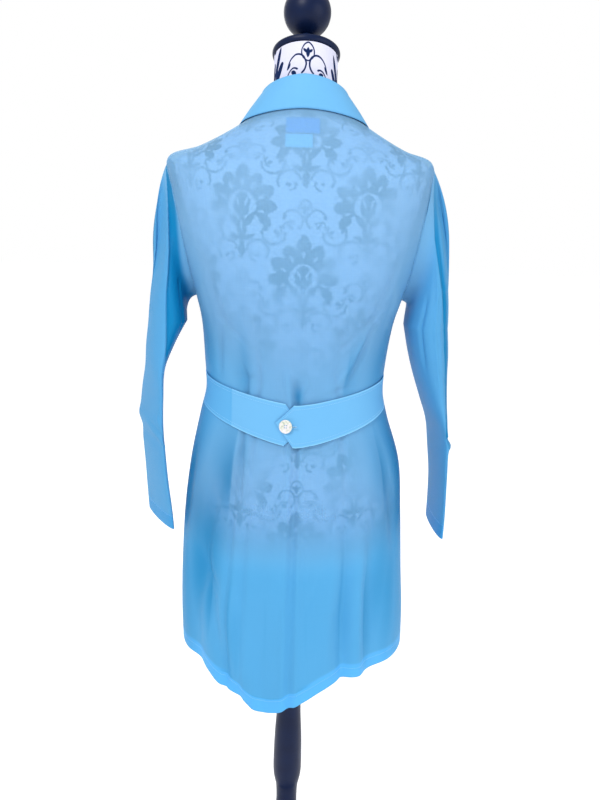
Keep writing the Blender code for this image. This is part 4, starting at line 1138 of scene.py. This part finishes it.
hems = []
levels = hem_levels(HEM_DEPTH)
edge = back_edge(levels)
edge = edge - seam_trim(levels, edge) - 0.004
points = off_body(edge[:, None] * share[None, :], levels[:, None], -(THIN + 0.0004))
hems.append(cloth_piece("back_hem", points, HEM_CLOTH, wall=HEM_WALL))
for side, name in ((1, "front_left_hem"), (-1, "front_right_hem")):
    start = front_edge(levels) + 0.006
    angle, under = front_angles(start, FRONT_END - 0.4, side)
    lift = -under * (CLOTH + WRAP_GAP) - (THIN + 0.0003) * np.ones(angle.shape)
    hems.append(cloth_piece(name, off_body(side * angle, levels[:, None], lift), HEM_CLOTH,
                            wall=HEM_WALL, flip=side < 0))
for (_, points), name, side in zip(sleeves, ("sleeve_left_hem", "sleeve_right_hem"), (1, -1)):
    rows = points[-SLEEVE_HEM_ROWS:]
    centre = rows.mean(axis=1, keepdims=True)
    inwards = unit(np.cross(np.roll(rows, -1, axis=1) - np.roll(rows, 1, axis=1),
                            np.gradient(rows, axis=0)))
    if np.sum((rows - centre) * inwards) > 0:
        inwards = -inwards
    hems.append(cloth_piece(name, rows + inwards * (THIN + 0.0004), HEM_CLOTH, wall=HEM_WALL,
                            closed=True, flip=side > 0))
for piece in hems:
    mark(piece, "clear", np.full(len(piece.data.vertices), HEM_CLEAR))


# Collar: the same cloth doubled over interfacing, so it is opaque and crisp. A
# stand rises from the neckline, folds over, and falls on the shoulders to a point
# at each front.
CollarPlace = namedtuple("CollarPlace", "angle stand inward edge_level lift")
COLLAR_PLACES = [CollarPlace(*row) for row in (
    (0, 0.0320, 0.0040, 0.42, 0.0013), (45, 0.0285, 0.0080, 0.50, 0.0013),
    (90, 0.0230, 0.0120, 0.70, 0.0014), (130, 0.0200, 0.0070, 1.20, 0.0045),
    (160, 0.0150, 0.0020, 1.72, 0.0045), (178, 0.0120, 0.0010, 1.80, 0.0050),
)]
COLLAR_END, COLLAR_SPREAD, COLLAR_SPREAD_START = 177.0, 12.0, 0.55
COLLAR_FOLD_RADIUS, COLLAR_BOW = 0.0035, 0.0015
CRISP = cloth_material("interfaced_cloth", (0.150, 0.425, 0.725), (0.030, 0.30, 0.64),
                       (0.23, 0.56, 0.86), rough=0.6)


def collar_points():
    """Outer points of the collar, stand to edge, from one front end to the other."""
    u = np.linspace(-1, 1, 193)
    angle = math.radians(COLLAR_END) * u
    table = np.array(COLLAR_PLACES, float)
    degrees = np.minimum(np.abs(np.degrees(angle)), table[-1, 0])
    places = np.interp(degrees, table[:, 0], np.arange(len(table)))
    _, stand, inward, edge_level, lift = np.moveaxis(rows_at(COLLAR_PLACES, places), -1, 0)
    base = body(angle, 0.0) + np.array([0, 0, FACE_GAP])
    away = unit(base * [1, 1, 0])
    rise = np.array([0, 0, 1.0])
    crest = base - away * inward[:, None] + rise * stand[:, None]
    rows = [base + (crest - base) * s for s in np.linspace(0, 1, 7)]
    centre = crest + away * COLLAR_FOLD_RADIUS
    for turn in np.radians(range(18, 180, 18)):
        rows.append(centre - away * math.cos(turn) * COLLAR_FOLD_RADIUS
                    + rise * math.sin(turn) * COLLAR_FOLD_RADIUS)
    spread = math.radians(COLLAR_SPREAD) * ramp(np.abs(u), COLLAR_SPREAD_START, 1.0)
    edge = off_body(angle - np.sign(angle) * spread, edge_level, lift)
    top = centre + away * COLLAR_FOLD_RADIUS
    for s in np.linspace(0, 1, 15):
        rows.append(top + (edge - top) * s + away * COLLAR_BOW * math.sin(math.pi * s))
    return np.array(rows)


collar_cloth = cloth_piece("collar_cloth", collar_points()[:, ::-1], CRISP, wall=0.0009)
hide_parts("collar")


# Belt: two halves of doubled, interfaced cloth, each sewn into a side seam. They
# cross at the centre back, the pointed right half over the left, and button there.
BELT_CLOTH, BELT_LIFT, BELT_OVERLAP_LIFT = 0.0016, 0.0016, 0.0024
BELT_TOP_BACK, BELT_TOP_SIDE = 0.918, 0.956
BELT_LOW_BACK, BELT_LOW_SIDE = 0.854, 0.911
BELT_SIDE_ANGLE, BELT_POINT = 88.0, 0.026
BELT_RISE = (-30.0, -14.0)
BELT_BUTTON_X, BELT_BUTTON_Z = 0.013, 0.886
BELT_TURN_IN = 0.100
BELT_ROWS = np.concatenate([[0, 0.015, 0.03], np.linspace(0.055, 0.945, 21), [0.97, 0.985, 1]])
BeltHalf = namedtuple("BeltHalf", "side end_x over")
BELT_LEFT, BELT_RIGHT = BeltHalf(1, -0.010, 0.0), BeltHalf(-1, 0.031, BELT_OVERLAP_LIFT)


def belt_points(side, end_x, over):
    """Outer points of half the belt, from the side seam to the pointed end."""
    seam = math.radians(BELT_SIDE_ANGLE)
    end_level = float(level_at(BELT_BUTTON_Z, 0.0))
    tip = abs(angle_at(end_x, end_level)) * math.copysign(1, -side * end_x)
    shoulder = tip - BELT_POINT / DRESS_RINGS[WAIST].back
    v = BELT_ROWS[:, None]
    pointed = tip - (tip - shoulder) * np.abs(2 * v - 1)
    place = -seam + (pointed + seam) * np.linspace(0, 1, 121)[None, :]
    angle = -side * place
    share = np.minimum(np.abs(angle) / seam, 1.0) ** 1.3
    top = BELT_TOP_BACK + (BELT_TOP_SIDE - BELT_TOP_BACK) * share
    low = BELT_LOW_BACK + (BELT_LOW_SIDE - BELT_LOW_BACK) * share
    level = level_at(top + (low - top) * v, angle)
    lift = BELT_LIFT + BELT_CLOTH + over * ramp(np.degrees(place), *BELT_RISE)
    lift = lift - 0.0040 * ramp(-np.degrees(place), 72.0, BELT_SIDE_ANGLE)
    return off_body(angle, level, lift, folded=False)


for half, name, cad in ((BELT_LEFT, "belt_left_cloth", "belt_left"),
                        (BELT_RIGHT, "belt_right_cloth", "belt_right")):
    piece = cloth_piece(name, belt_points(*half), CRISP, wall=0.0014, flip=half.side > 0)
    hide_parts(cad)
    grid = np.array([vertex.co[:] for vertex in piece.data.vertices])
    grid = grid.reshape(len(BELT_ROWS), -1, 3)
    from_edge = np.minimum(*(np.linalg.norm(grid - edge, axis=2) for edge in (grid[:1], grid[-1:])))
    # A painted highlight along the belt's folded top and bottom edges
    mark(piece, "band", 0.85 * (1 - ramp(from_edge, 0.0014, 0.0022)))
    # Painted shade on the left half beyond where it turns in to the side, with a darker painted
    # line at the turn
    if half.side > 0:
        past = grid[..., 0] - BELT_TURN_IN
        mark(piece, "double", 0.32 * ramp(past, -0.0006, 0.0006)
             + 0.30 * np.exp(-(past / 0.0010) ** 2))


# Buttons: moulded pearly discs with a raised rim, a dished face and four holes,
# sewn on with thread: one on the belt and six down the front.
BUTTON_RADIUS, BUTTON_HEIGHT, BELT_BUTTON_RADIUS = 0.0095, 0.0030, 0.0105
FRONT_BUTTON_HEIGHTS = (1.235, 1.120, 1.000, 0.880, 0.760, 0.640)
HOLE_RADIUS, HOLE_SPREAD = 0.00085, 0.0017


def button_mesh(name, radius, place):
    """A turned disc with four holes bored through it, set in its place."""
    rim = radius * 0.86
    profile = (
        (0.0, BUTTON_HEIGHT * 0.56), (radius * 0.50, BUTTON_HEIGHT * 0.58),
        (radius * 0.66, BUTTON_HEIGHT * 0.66), (radius * 0.76, BUTTON_HEIGHT * 0.96),
        (rim, BUTTON_HEIGHT), (radius * 0.97, BUTTON_HEIGHT * 0.84),
        (radius, BUTTON_HEIGHT * 0.55), (radius * 0.97, BUTTON_HEIGHT * 0.25),
        (radius * 0.80, 0.0), (0.0, 0.0),
    )
    disc = new_object(name, turned_mesh(name, rounded(profile, 2), 48))
    bm = bmesh.new()
    for x in (-1, 1):
        for y in (-1, 1):
            bmesh.ops.create_cone(bm, cap_ends=True, segments=14, radius1=HOLE_RADIUS,
                                  radius2=HOLE_RADIUS, depth=0.01,
                                  matrix=Matrix.Translation((x * HOLE_SPREAD, y * HOLE_SPREAD, 0)))
    drill_mesh = bpy.data.meshes.new("drill")
    bm.to_mesh(drill_mesh)
    bm.free()
    drill = new_object("drill", drill_mesh)
    bore = disc.modifiers.new("holes", "BOOLEAN")
    bore.operation, bore.solver, bore.object = "DIFFERENCE", "EXACT", drill
    made = plain_mesh(disc, name)
    bpy.data.objects.remove(drill, do_unlink=True)
    made.materials.clear()
    made.transform(place)
    return made


def pearl_material():
    """Pearly plastic: pale swirls of cream, pink and green under a clear gloss."""
    material, tree, shader = new_material("pearl")
    place = node(tree, "TexCoord").outputs["Object"]
    swirl = noise(tree, place, 140.0, 3.0, Distortion=1.6).outputs[0]
    tones = node(tree, "ValToRGB", (swirl,))
    stops = ((0.25, (0.42, 0.48, 0.40, 1)), (0.45, (0.70, 0.70, 0.62, 1)),
             (0.58, (0.74, 0.70, 0.74, 1)), (0.74, (0.86, 0.87, 0.84, 1)))
    ramp_nodes = tones.color_ramp.elements
    while len(ramp_nodes) < len(stops):
        ramp_nodes.new(0.5)
    for element, (position, colour) in zip(ramp_nodes, stops):
        element.position, element.color = position, colour
    set_shader(tree, shader, tones.outputs[0], (0.15, 0.0002, swirl), Roughness=0.22,
               Coat_Weight=0.5, Coat_Roughness=0.08)
    return material


PEARL = pearl_material()


def on_body(angle, level, lift):
    """A place on the dress body as a matrix: Z out, Y up along the cloth."""
    point = Vector(off_body(angle, level, 0.0))
    normal = Vector(off_body(angle, level, 1.0)) - point
    turn = normal.normalized().to_track_quat("Z", "Y").to_matrix().to_4x4()
    return Matrix.Translation(point + normal.normalized() * lift) @ turn


belt_level = float(level_at(BELT_BUTTON_Z, 0.0))
belt_angle = angle_at(BELT_BUTTON_X, belt_level)
belt_face = BELT_LIFT + BELT_CLOTH + BELT_OVERLAP_LIFT
button_places = [("belt_button", BELT_BUTTON_RADIUS,
                  on_body(belt_angle, belt_level, belt_face + REST_GAP))]
for number, height in enumerate(FRONT_BUTTON_HEIGHTS, start=1):
    place = on_body(math.pi, float(level_at(height, math.pi)), REST_GAP)
    button_places.append((f"front_button_{number}", BUTTON_RADIUS, place))
for cad, radius, place in button_places:
    piece = add_object(cad + "_pearl", button_mesh(cad + "_pearl", radius, place), PEARL)
    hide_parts(cad)


# Neck labels: two short pieces of plain woven tape, one above the other, sewn
# inside the back under the collar. They are left blank.
Label = namedtuple("Label", "name right left top bottom")
LABELS = (
    Label("label_upper", -0.023, 0.026, 1.3300, 1.3070),
    Label("label_lower", -0.013, 0.026, 1.3055, 1.2860),
)
TAPES = {
    "label_upper": cloth_material("dark_tape", (0.08, 0.27, 0.72), (0.06, 0.23, 0.62),
                                  (0.10, 0.30, 0.75), rough=0.7),
    "label_lower": cloth_material("pale_tape", (0.30, 0.66, 0.90), (0.26, 0.60, 0.84),
                                  (0.34, 0.70, 0.92), rough=0.7),
}
for label in LABELS:
    rows = []
    for z in np.linspace(label.top, label.bottom, 9):
        level = float(level_at(z, 0.0))
        ends = [angle_at(x, level) for x in (label.right, label.left)]
        rows.append(off_body(np.linspace(*ends, 17), level, -CLOTH - FACE_GAP))
    piece = cloth_piece(label.name + "_tape", np.array(rows), TAPES[label.name], wall=0.0006)
    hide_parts(label.name)


# Sewing: single rows of pale thread along the hems, the armholes, the front edge,
# the collar and the belt, thread through the buttons, and worked buttonholes.
STITCH_LENGTH, STITCH_GAP, STITCH_WIDTH = 0.0021, 0.0007, 0.00040
HEM_STITCH = 0.0222
Row = namedtuple("Row", "points normals")


def grid_place(grid, r, c):
    """A point between the points of a grid."""
    r0, c0 = int(min(r, len(grid) - 2)), int(min(c, grid.shape[1] - 2))
    a, b = r - r0, c - c0
    return ((grid[r0, c0] * (1 - b) + grid[r0, c0 + 1] * b) * (1 - a)
            + (grid[r0 + 1, c0] * (1 - b) + grid[r0 + 1, c0 + 1] * b) * a)


def path_on(grid, places, centre=None):
    """A path over a grid of cloth, with the directions away from its middle."""
    normals = unit(np.cross(np.gradient(grid, axis=1), np.gradient(grid, axis=0)))
    middle = np.array([0, 0, 0]) if centre is None else centre
    if np.sum(((grid - middle) * normals)[..., :2]) < 0:
        normals = -normals
    return Row(np.array([grid_place(grid, r, c) for r, c in places]),
               np.array([grid_place(normals, r, c) for r, c in places]))


def even_stitches(row, lift=0.0001):
    """Middles, directions and outward directions of the stitches along a path."""
    steps = np.linalg.norm(np.diff(row.points, axis=0), axis=1)
    far = np.concatenate([[0.0], np.cumsum(steps)])
    middles = np.arange(STITCH_LENGTH, far[-1] - STITCH_LENGTH / 2, STITCH_LENGTH + STITCH_GAP)
    spots, outs = (np.stack([np.interp(middles, far, side[:, k]) for k in range(3)], axis=1)
                   for side in row)
    ways = np.gradient(spots, axis=0)
    return spots + outs * lift, ways, outs


def stitch_tree(material):
    """A node tree that lays one thread on every point, along and out as marked there."""
    tree = bpy.data.node_groups.new("stitches", "GeometryNodeTree")
    interface = tree.interface
    interface.new_socket("Points", in_out="INPUT", socket_type="NodeSocketGeometry")
    for title, value in (("Length", STITCH_LENGTH), ("Width", STITCH_WIDTH)):
        interface.new_socket(title, in_out="INPUT",
                             socket_type="NodeSocketFloat").default_value = value
    interface.new_socket("Stitches", in_out="OUTPUT", socket_type="NodeSocketGeometry")
    given, result, ball, scale, size, place, real, dress, smooth, points = (
        tree.nodes.new(kind) for kind in (
            "NodeGroupInput", "NodeGroupOutput", "GeometryNodeMeshUVSphere",
            "GeometryNodeTransform", "ShaderNodeCombineXYZ", "GeometryNodeInstanceOnPoints",
            "GeometryNodeRealizeInstances", "GeometryNodeSetMaterial",
            "GeometryNodeSetShadeSmooth", "GeometryNodeMeshToPoints"))
    ball.inputs["Segments"].default_value, ball.inputs["Rings"].default_value = 7, 5
    ball.inputs["Radius"].default_value = 0.5
    link = tree.links.new
    link(given.outputs["Length"], size.inputs[0])
    link(given.outputs["Width"], size.inputs[1])
    link(given.outputs["Width"], size.inputs[2])
    link(ball.outputs["Mesh"], scale.inputs["Geometry"])
    link(size.outputs[0], scale.inputs["Scale"])
    turn = None
    for title, axis, pivot in (("along", "X", "AUTO"), ("out", "Z", "X")):
        named = tree.nodes.new("GeometryNodeInputNamedAttribute")
        named.data_type = "FLOAT_VECTOR"
        named.inputs["Name"].default_value = title
        align = tree.nodes.new("FunctionNodeAlignRotationToVector")
        align.axis, align.pivot_axis = axis, pivot
        link(named.outputs["Attribute"], align.inputs["Vector"])
        if turn:
            link(turn, align.inputs["Rotation"])
        turn = align.outputs["Rotation"]
    link(given.outputs["Points"], points.inputs["Mesh"])
    link(points.outputs["Points"], place.inputs["Points"])
    link(scale.outputs["Geometry"], place.inputs["Instance"])
    link(turn, place.inputs["Rotation"])
    link(place.outputs["Instances"], real.inputs["Geometry"])
    link(real.outputs["Geometry"], smooth.inputs["Geometry"])
    link(smooth.outputs["Geometry"], dress.inputs["Geometry"])
    dress.inputs["Material"].default_value = material
    link(dress.outputs["Geometry"], result.inputs["Stitches"])
    return tree


def thread_material(name, colour, shade):
    """Spun thread: fine twist along each stitch."""
    material, tree, shader = new_material(name)
    place = node(tree, "TexCoord").outputs["Object"]
    twist = noise(tree, place, 2600.0, 1.0).outputs[0]
    set_shader(tree, shader, mixed(tree, twist, colour, shade), (0.4, 0.0001, twist),
               Roughness=0.6)
    return material


THREAD = thread_material("blue_thread", (0.42, 0.70, 0.92), (0.26, 0.56, 0.86))
STITCHES = stitch_tree(THREAD)


def sew(name, stitches, length=STITCH_LENGTH, width=STITCH_WIDTH):
    """Stitches at middles, along ways and facing out, as one piece."""
    spots, ways, outs = (np.concatenate([s[k] for s in stitches]) for k in range(3))
    mesh = bpy.data.meshes.new(name)
    mesh.from_pydata(spots.tolist(), [], [])
    for title, values in (("along", ways), ("out", outs)):
        layer = mesh.attributes.new(title, "FLOAT_VECTOR", "POINT")
        layer.data.foreach_set("vector", np.asarray(values, np.float32).ravel())
    obj = new_object(name, mesh)
    grow = obj.modifiers.new("stitches", "NODES")
    grow.node_group = STITCHES
    for item in STITCHES.interface.items_tree:
        if item.in_out == "INPUT" and item.name in ("Length", "Width"):
            grow[item.identifier] = length if item.name == "Length" else width
    piece = new_object(name, plain_mesh(obj, name))
    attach(piece, "root")


def body_row(angle, level):
    """A path over the dress body."""
    points = off_body(angle, level, 0.0)
    return Row(points, off_body(angle, level, 1.0) - points)


def sew_rows(name, rows):
    """Even stitches along paths, as one piece."""
    sew(name, [even_stitches(row) for row in rows])


rows = []
hem_level = HEM - HEM_STITCH / HEM_LEVEL
turn = np.linspace(-1, 1, 400) * (math.pi / 2 - 0.01)
rows.append(body_row(turn, np.full(turn.shape, hem_level)))
for side in (1, -1):
    turn = side * np.linspace(math.pi / 2 + 0.01, math.radians(172 if side > 0 else 187.5), 300)
    rows.append(body_row(turn, np.full(turn.shape, hem_level)))
    down = np.linspace(SHOULDER_POINT + 0.05, ARMPIT - 0.05, 160)
    rows.append(body_row(side * (back_edge(down) - 0.010), down))
    rows.append(body_row(side * (front_edge(down) + 0.014), down))
down = np.linspace(1.7, HEM - 0.1, 500)
rows.append(body_row(np.full(down.shape, -math.radians(183.5)), down))
sew_rows("body_stitches", rows)

rows = []
for _, points in sleeves:
    closed = np.concatenate([points, points[:, :1]], axis=1)
    across = np.linspace(0, closed.shape[1] - 1, 260)
    depth = np.linalg.norm(points[-1, 0] - points[-2, 0])
    r = len(points) - 1 - HEM_STITCH / depth
    rows.append(path_on(closed, [(r, c) for c in across], points.mean(axis=1, keepdims=True)))
sew_rows("sleeve_stitches", rows)

rows = []
grid = collar_points()
rows.append(path_on(grid, [(len(grid) - 2.3, c) for c in np.linspace(2, grid.shape[1] - 3, 400)]))
for half in (BELT_LEFT, BELT_RIGHT):
    grid = belt_points(*half)
    last = grid.shape[1] - 4.0
    near, far = 4.0, len(grid) - 5.0
    places = ([(near, c) for c in np.linspace(6, last, 200)]
              + [(r, last) for r in np.linspace(near, far, 50)]
              + [(far, c) for c in np.linspace(last, 6, 200)])
    rows.append(path_on(grid, places))
sew_rows("trim_stitches", rows)

# Worked buttonholes: a slit with close stitches across both its lips
SLIT_START, SLIT_END, SLIT_SLOPE, LIP, SLIT_HALF = 0.0092, 0.0170, 0.16, 0.0008, 0.00030
LOOPS = 18
loops, slits = [], []
for cad, _, place in button_places:
    on_belt = cad == "belt_button"
    turned_place = place @ Matrix.Translation((0, 0, -REST_GAP))
    spots = np.linspace(SLIT_START, SLIT_END, LOOPS)
    frame3 = np.array(turned_place.to_3x3())
    sideways = frame3[:, 0] * (-1 if frame3[0, 0] > 0 else 1)
    if not on_belt:
        sideways = -sideways
    rise, out = frame3[:, 1], frame3[:, 2]
    start = np.array(turned_place.translation)
    line = start + spots[:, None] * sideways + (spots[:, None] - SLIT_START) * SLIT_SLOPE * rise
    for lip in (-1, 1):
        loops.append((line + rise * lip * LIP + out * 0.0001,
                      np.tile(rise, (LOOPS, 1)), np.tile(out, (LOOPS, 1))))
    corners = [line[end] + rise * half for end, half in (
        (0, -SLIT_HALF), (-1, -SLIT_HALF), (-1, SLIT_HALF), (0, SLIT_HALF))]
    slits.append([c + out * 0.00022 for c in corners])
sew("buttonhole_stitches", loops, length=0.0013, width=0.00042)
# A dark sheet in each slit: painted shade in the opening
mesh = bpy.data.meshes.new("buttonhole_slits")
mesh.from_pydata([tuple(c) for slit in slits for c in slit], [],
                 [(4 * k, 4 * k + 1, 4 * k + 2, 4 * k + 3) for k in range(len(slits))])
slit_piece = add_object("buttonhole_slits", mesh,
                        thread_material("slit_shade", (0.010, 0.045, 0.12), (0.006, 0.030, 0.09)))

# Two bars of thread through the four holes of each button
bars = []
for _, _, place in button_places:
    frame3 = np.array(place.to_3x3())
    middle = np.array(place.translation) + frame3[:, 2] * BUTTON_HEIGHT * 0.56
    spots = np.array([middle + frame3[:, 1] * s * HOLE_SPREAD for s in (-1, 1)])
    bars.append((spots, np.tile(frame3[:, 0], (2, 1)), np.tile(frame3[:, 2], (2, 1))))
sew("button_thread", bars, length=2 * HOLE_SPREAD + 0.0012, width=0.0008)


# How hazy the print shows: sharp on the bare neck and where the dress lies on the
# cover, and softer the further the cloth stands off it.
BARE_HAZE, HAZE_GAPS, BARE_NECK = 0.27, (0.0020, 0.0190), (1.335, 1.350)
# Where the skirt lies on the cover at the back: place, size and how sharp the print is
Pressed = namedtuple("Pressed", "x z size much")
PRESSED = (
    Pressed(-0.006, 0.815, 0.045, 0.80),
    Pressed(-0.075, 0.835, 0.030, 0.65),
    Pressed(-0.006, 0.740, 0.040, 0.35),
    Pressed(0.095, 0.850, 0.025, 0.50),
)


def veil_form(sheets):
    """Writes haze on the cover: 0 on the bare neck, and 1 where the print is lost."""
    trees = [tree_of(sheet.data) for sheet in sheets]
    mesh = form_cover.data
    haze = []
    for vertex in mesh.vertices:
        near = min(tree.find_nearest(vertex.co)[3] for tree in trees)
        veiled = BARE_HAZE + (1 - BARE_HAZE) * float(ramp(near, *HAZE_GAPS))
        for spot in PRESSED if vertex.co.y > 0 else ():
            far = math.hypot(vertex.co.x - spot.x, vertex.co.z - spot.z) / spot.size
            veiled *= 1 - spot.much * math.exp(-far ** 4)
        haze.append(veiled * float(1 - ramp(vertex.co.z, *BARE_NECK)))
    mark(form_cover, "haze", haze)


veil_form([back_panel, *fronts])


# The studio: a pale floor, a white room and large soft lamps, and the camera behind
# the dress at chest height, looking slightly down.
FLOOR_SIZE = 60.0
CAMERA_DISTANCE, CAMERA_HEIGHT, CAMERA_SIDE = 1.10, 1.155, -0.005
CAMERA_PITCH, CAMERA_ROLL, FOCAL_PIXELS = 13.0, 1.6, 680.0
FRAME_HEIGHT = 800

mesh = bpy.data.meshes.new("floor")
half = FLOOR_SIZE / 2
mesh.from_pydata([(-half, -half, 0), (half, -half, 0), (half, half, 0), (-half, half, 0)], [],
                 [(0, 1, 2, 3)])
material, tree, shader = new_material("pale_floor")
for name, value in (("Base Color", (0.97, 0.97, 0.97, 1)), ("Roughness", 0.9),
                    ("Specular IOR Level", 0.1), ("Emission Color", (1, 1, 1, 1)),
                    ("Emission Strength", 0.335)):
    shader.inputs[name].default_value = value
mesh.materials.append(material)
floor = new_object("floor", mesh)

world = bpy.data.worlds.new("white_room")
bpy.context.scene.world = world
world.use_nodes = True
tree = world.node_tree
seen = node(tree, "LightPath").outputs["Is Camera Ray"]
background = tree.nodes["Background"]
background.inputs["Color"].default_value = (1.0, 1.0, 1.0, 1)
tree.links.new(maths(tree, "MULTIPLY_ADD", seen, 0.30, 0.70), background.inputs["Strength"])

Lamp = namedtuple("Lamp", "name place aim size power")
for lamp in (
        Lamp("key", (1.0, 1.8, 2.9), (0, 0, 1.1), 1.0, 38),
        Lamp("fill", (-2.2, 1.6, 1.6), (0, 0, 1.0), 2.2, 21),
        Lamp("front", (0.6, -2.6, 2.4), (0, 0, 0.9), 2.4, 20)):
    light = bpy.data.lights.new(lamp.name, "AREA")
    light.shape, light.size, light.energy = "DISK", lamp.size, lamp.power
    obj = new_object(lamp.name, light)
    obj.location = lamp.place
    aim = Vector(lamp.aim) - Vector(lamp.place)
    obj.rotation_euler = aim.to_track_quat("-Z", "Y").to_euler()

lens = bpy.data.cameras.new("camera")
lens.sensor_width, lens.sensor_fit = 36.0, "AUTO"
lens.lens = FOCAL_PIXELS * lens.sensor_width / FRAME_HEIGHT
camera = new_object("camera", lens)
camera.matrix_world = (
    Matrix.Translation((CAMERA_SIDE, CAMERA_DISTANCE, CAMERA_HEIGHT))
    @ Matrix.Rotation(math.pi, 4, "Z")
    @ Matrix.Rotation(math.radians(90 - CAMERA_PITCH), 4, "X")
    @ Matrix.Rotation(math.radians(CAMERA_ROLL), 4, "Z"))
bpy.context.scene.camera = camera
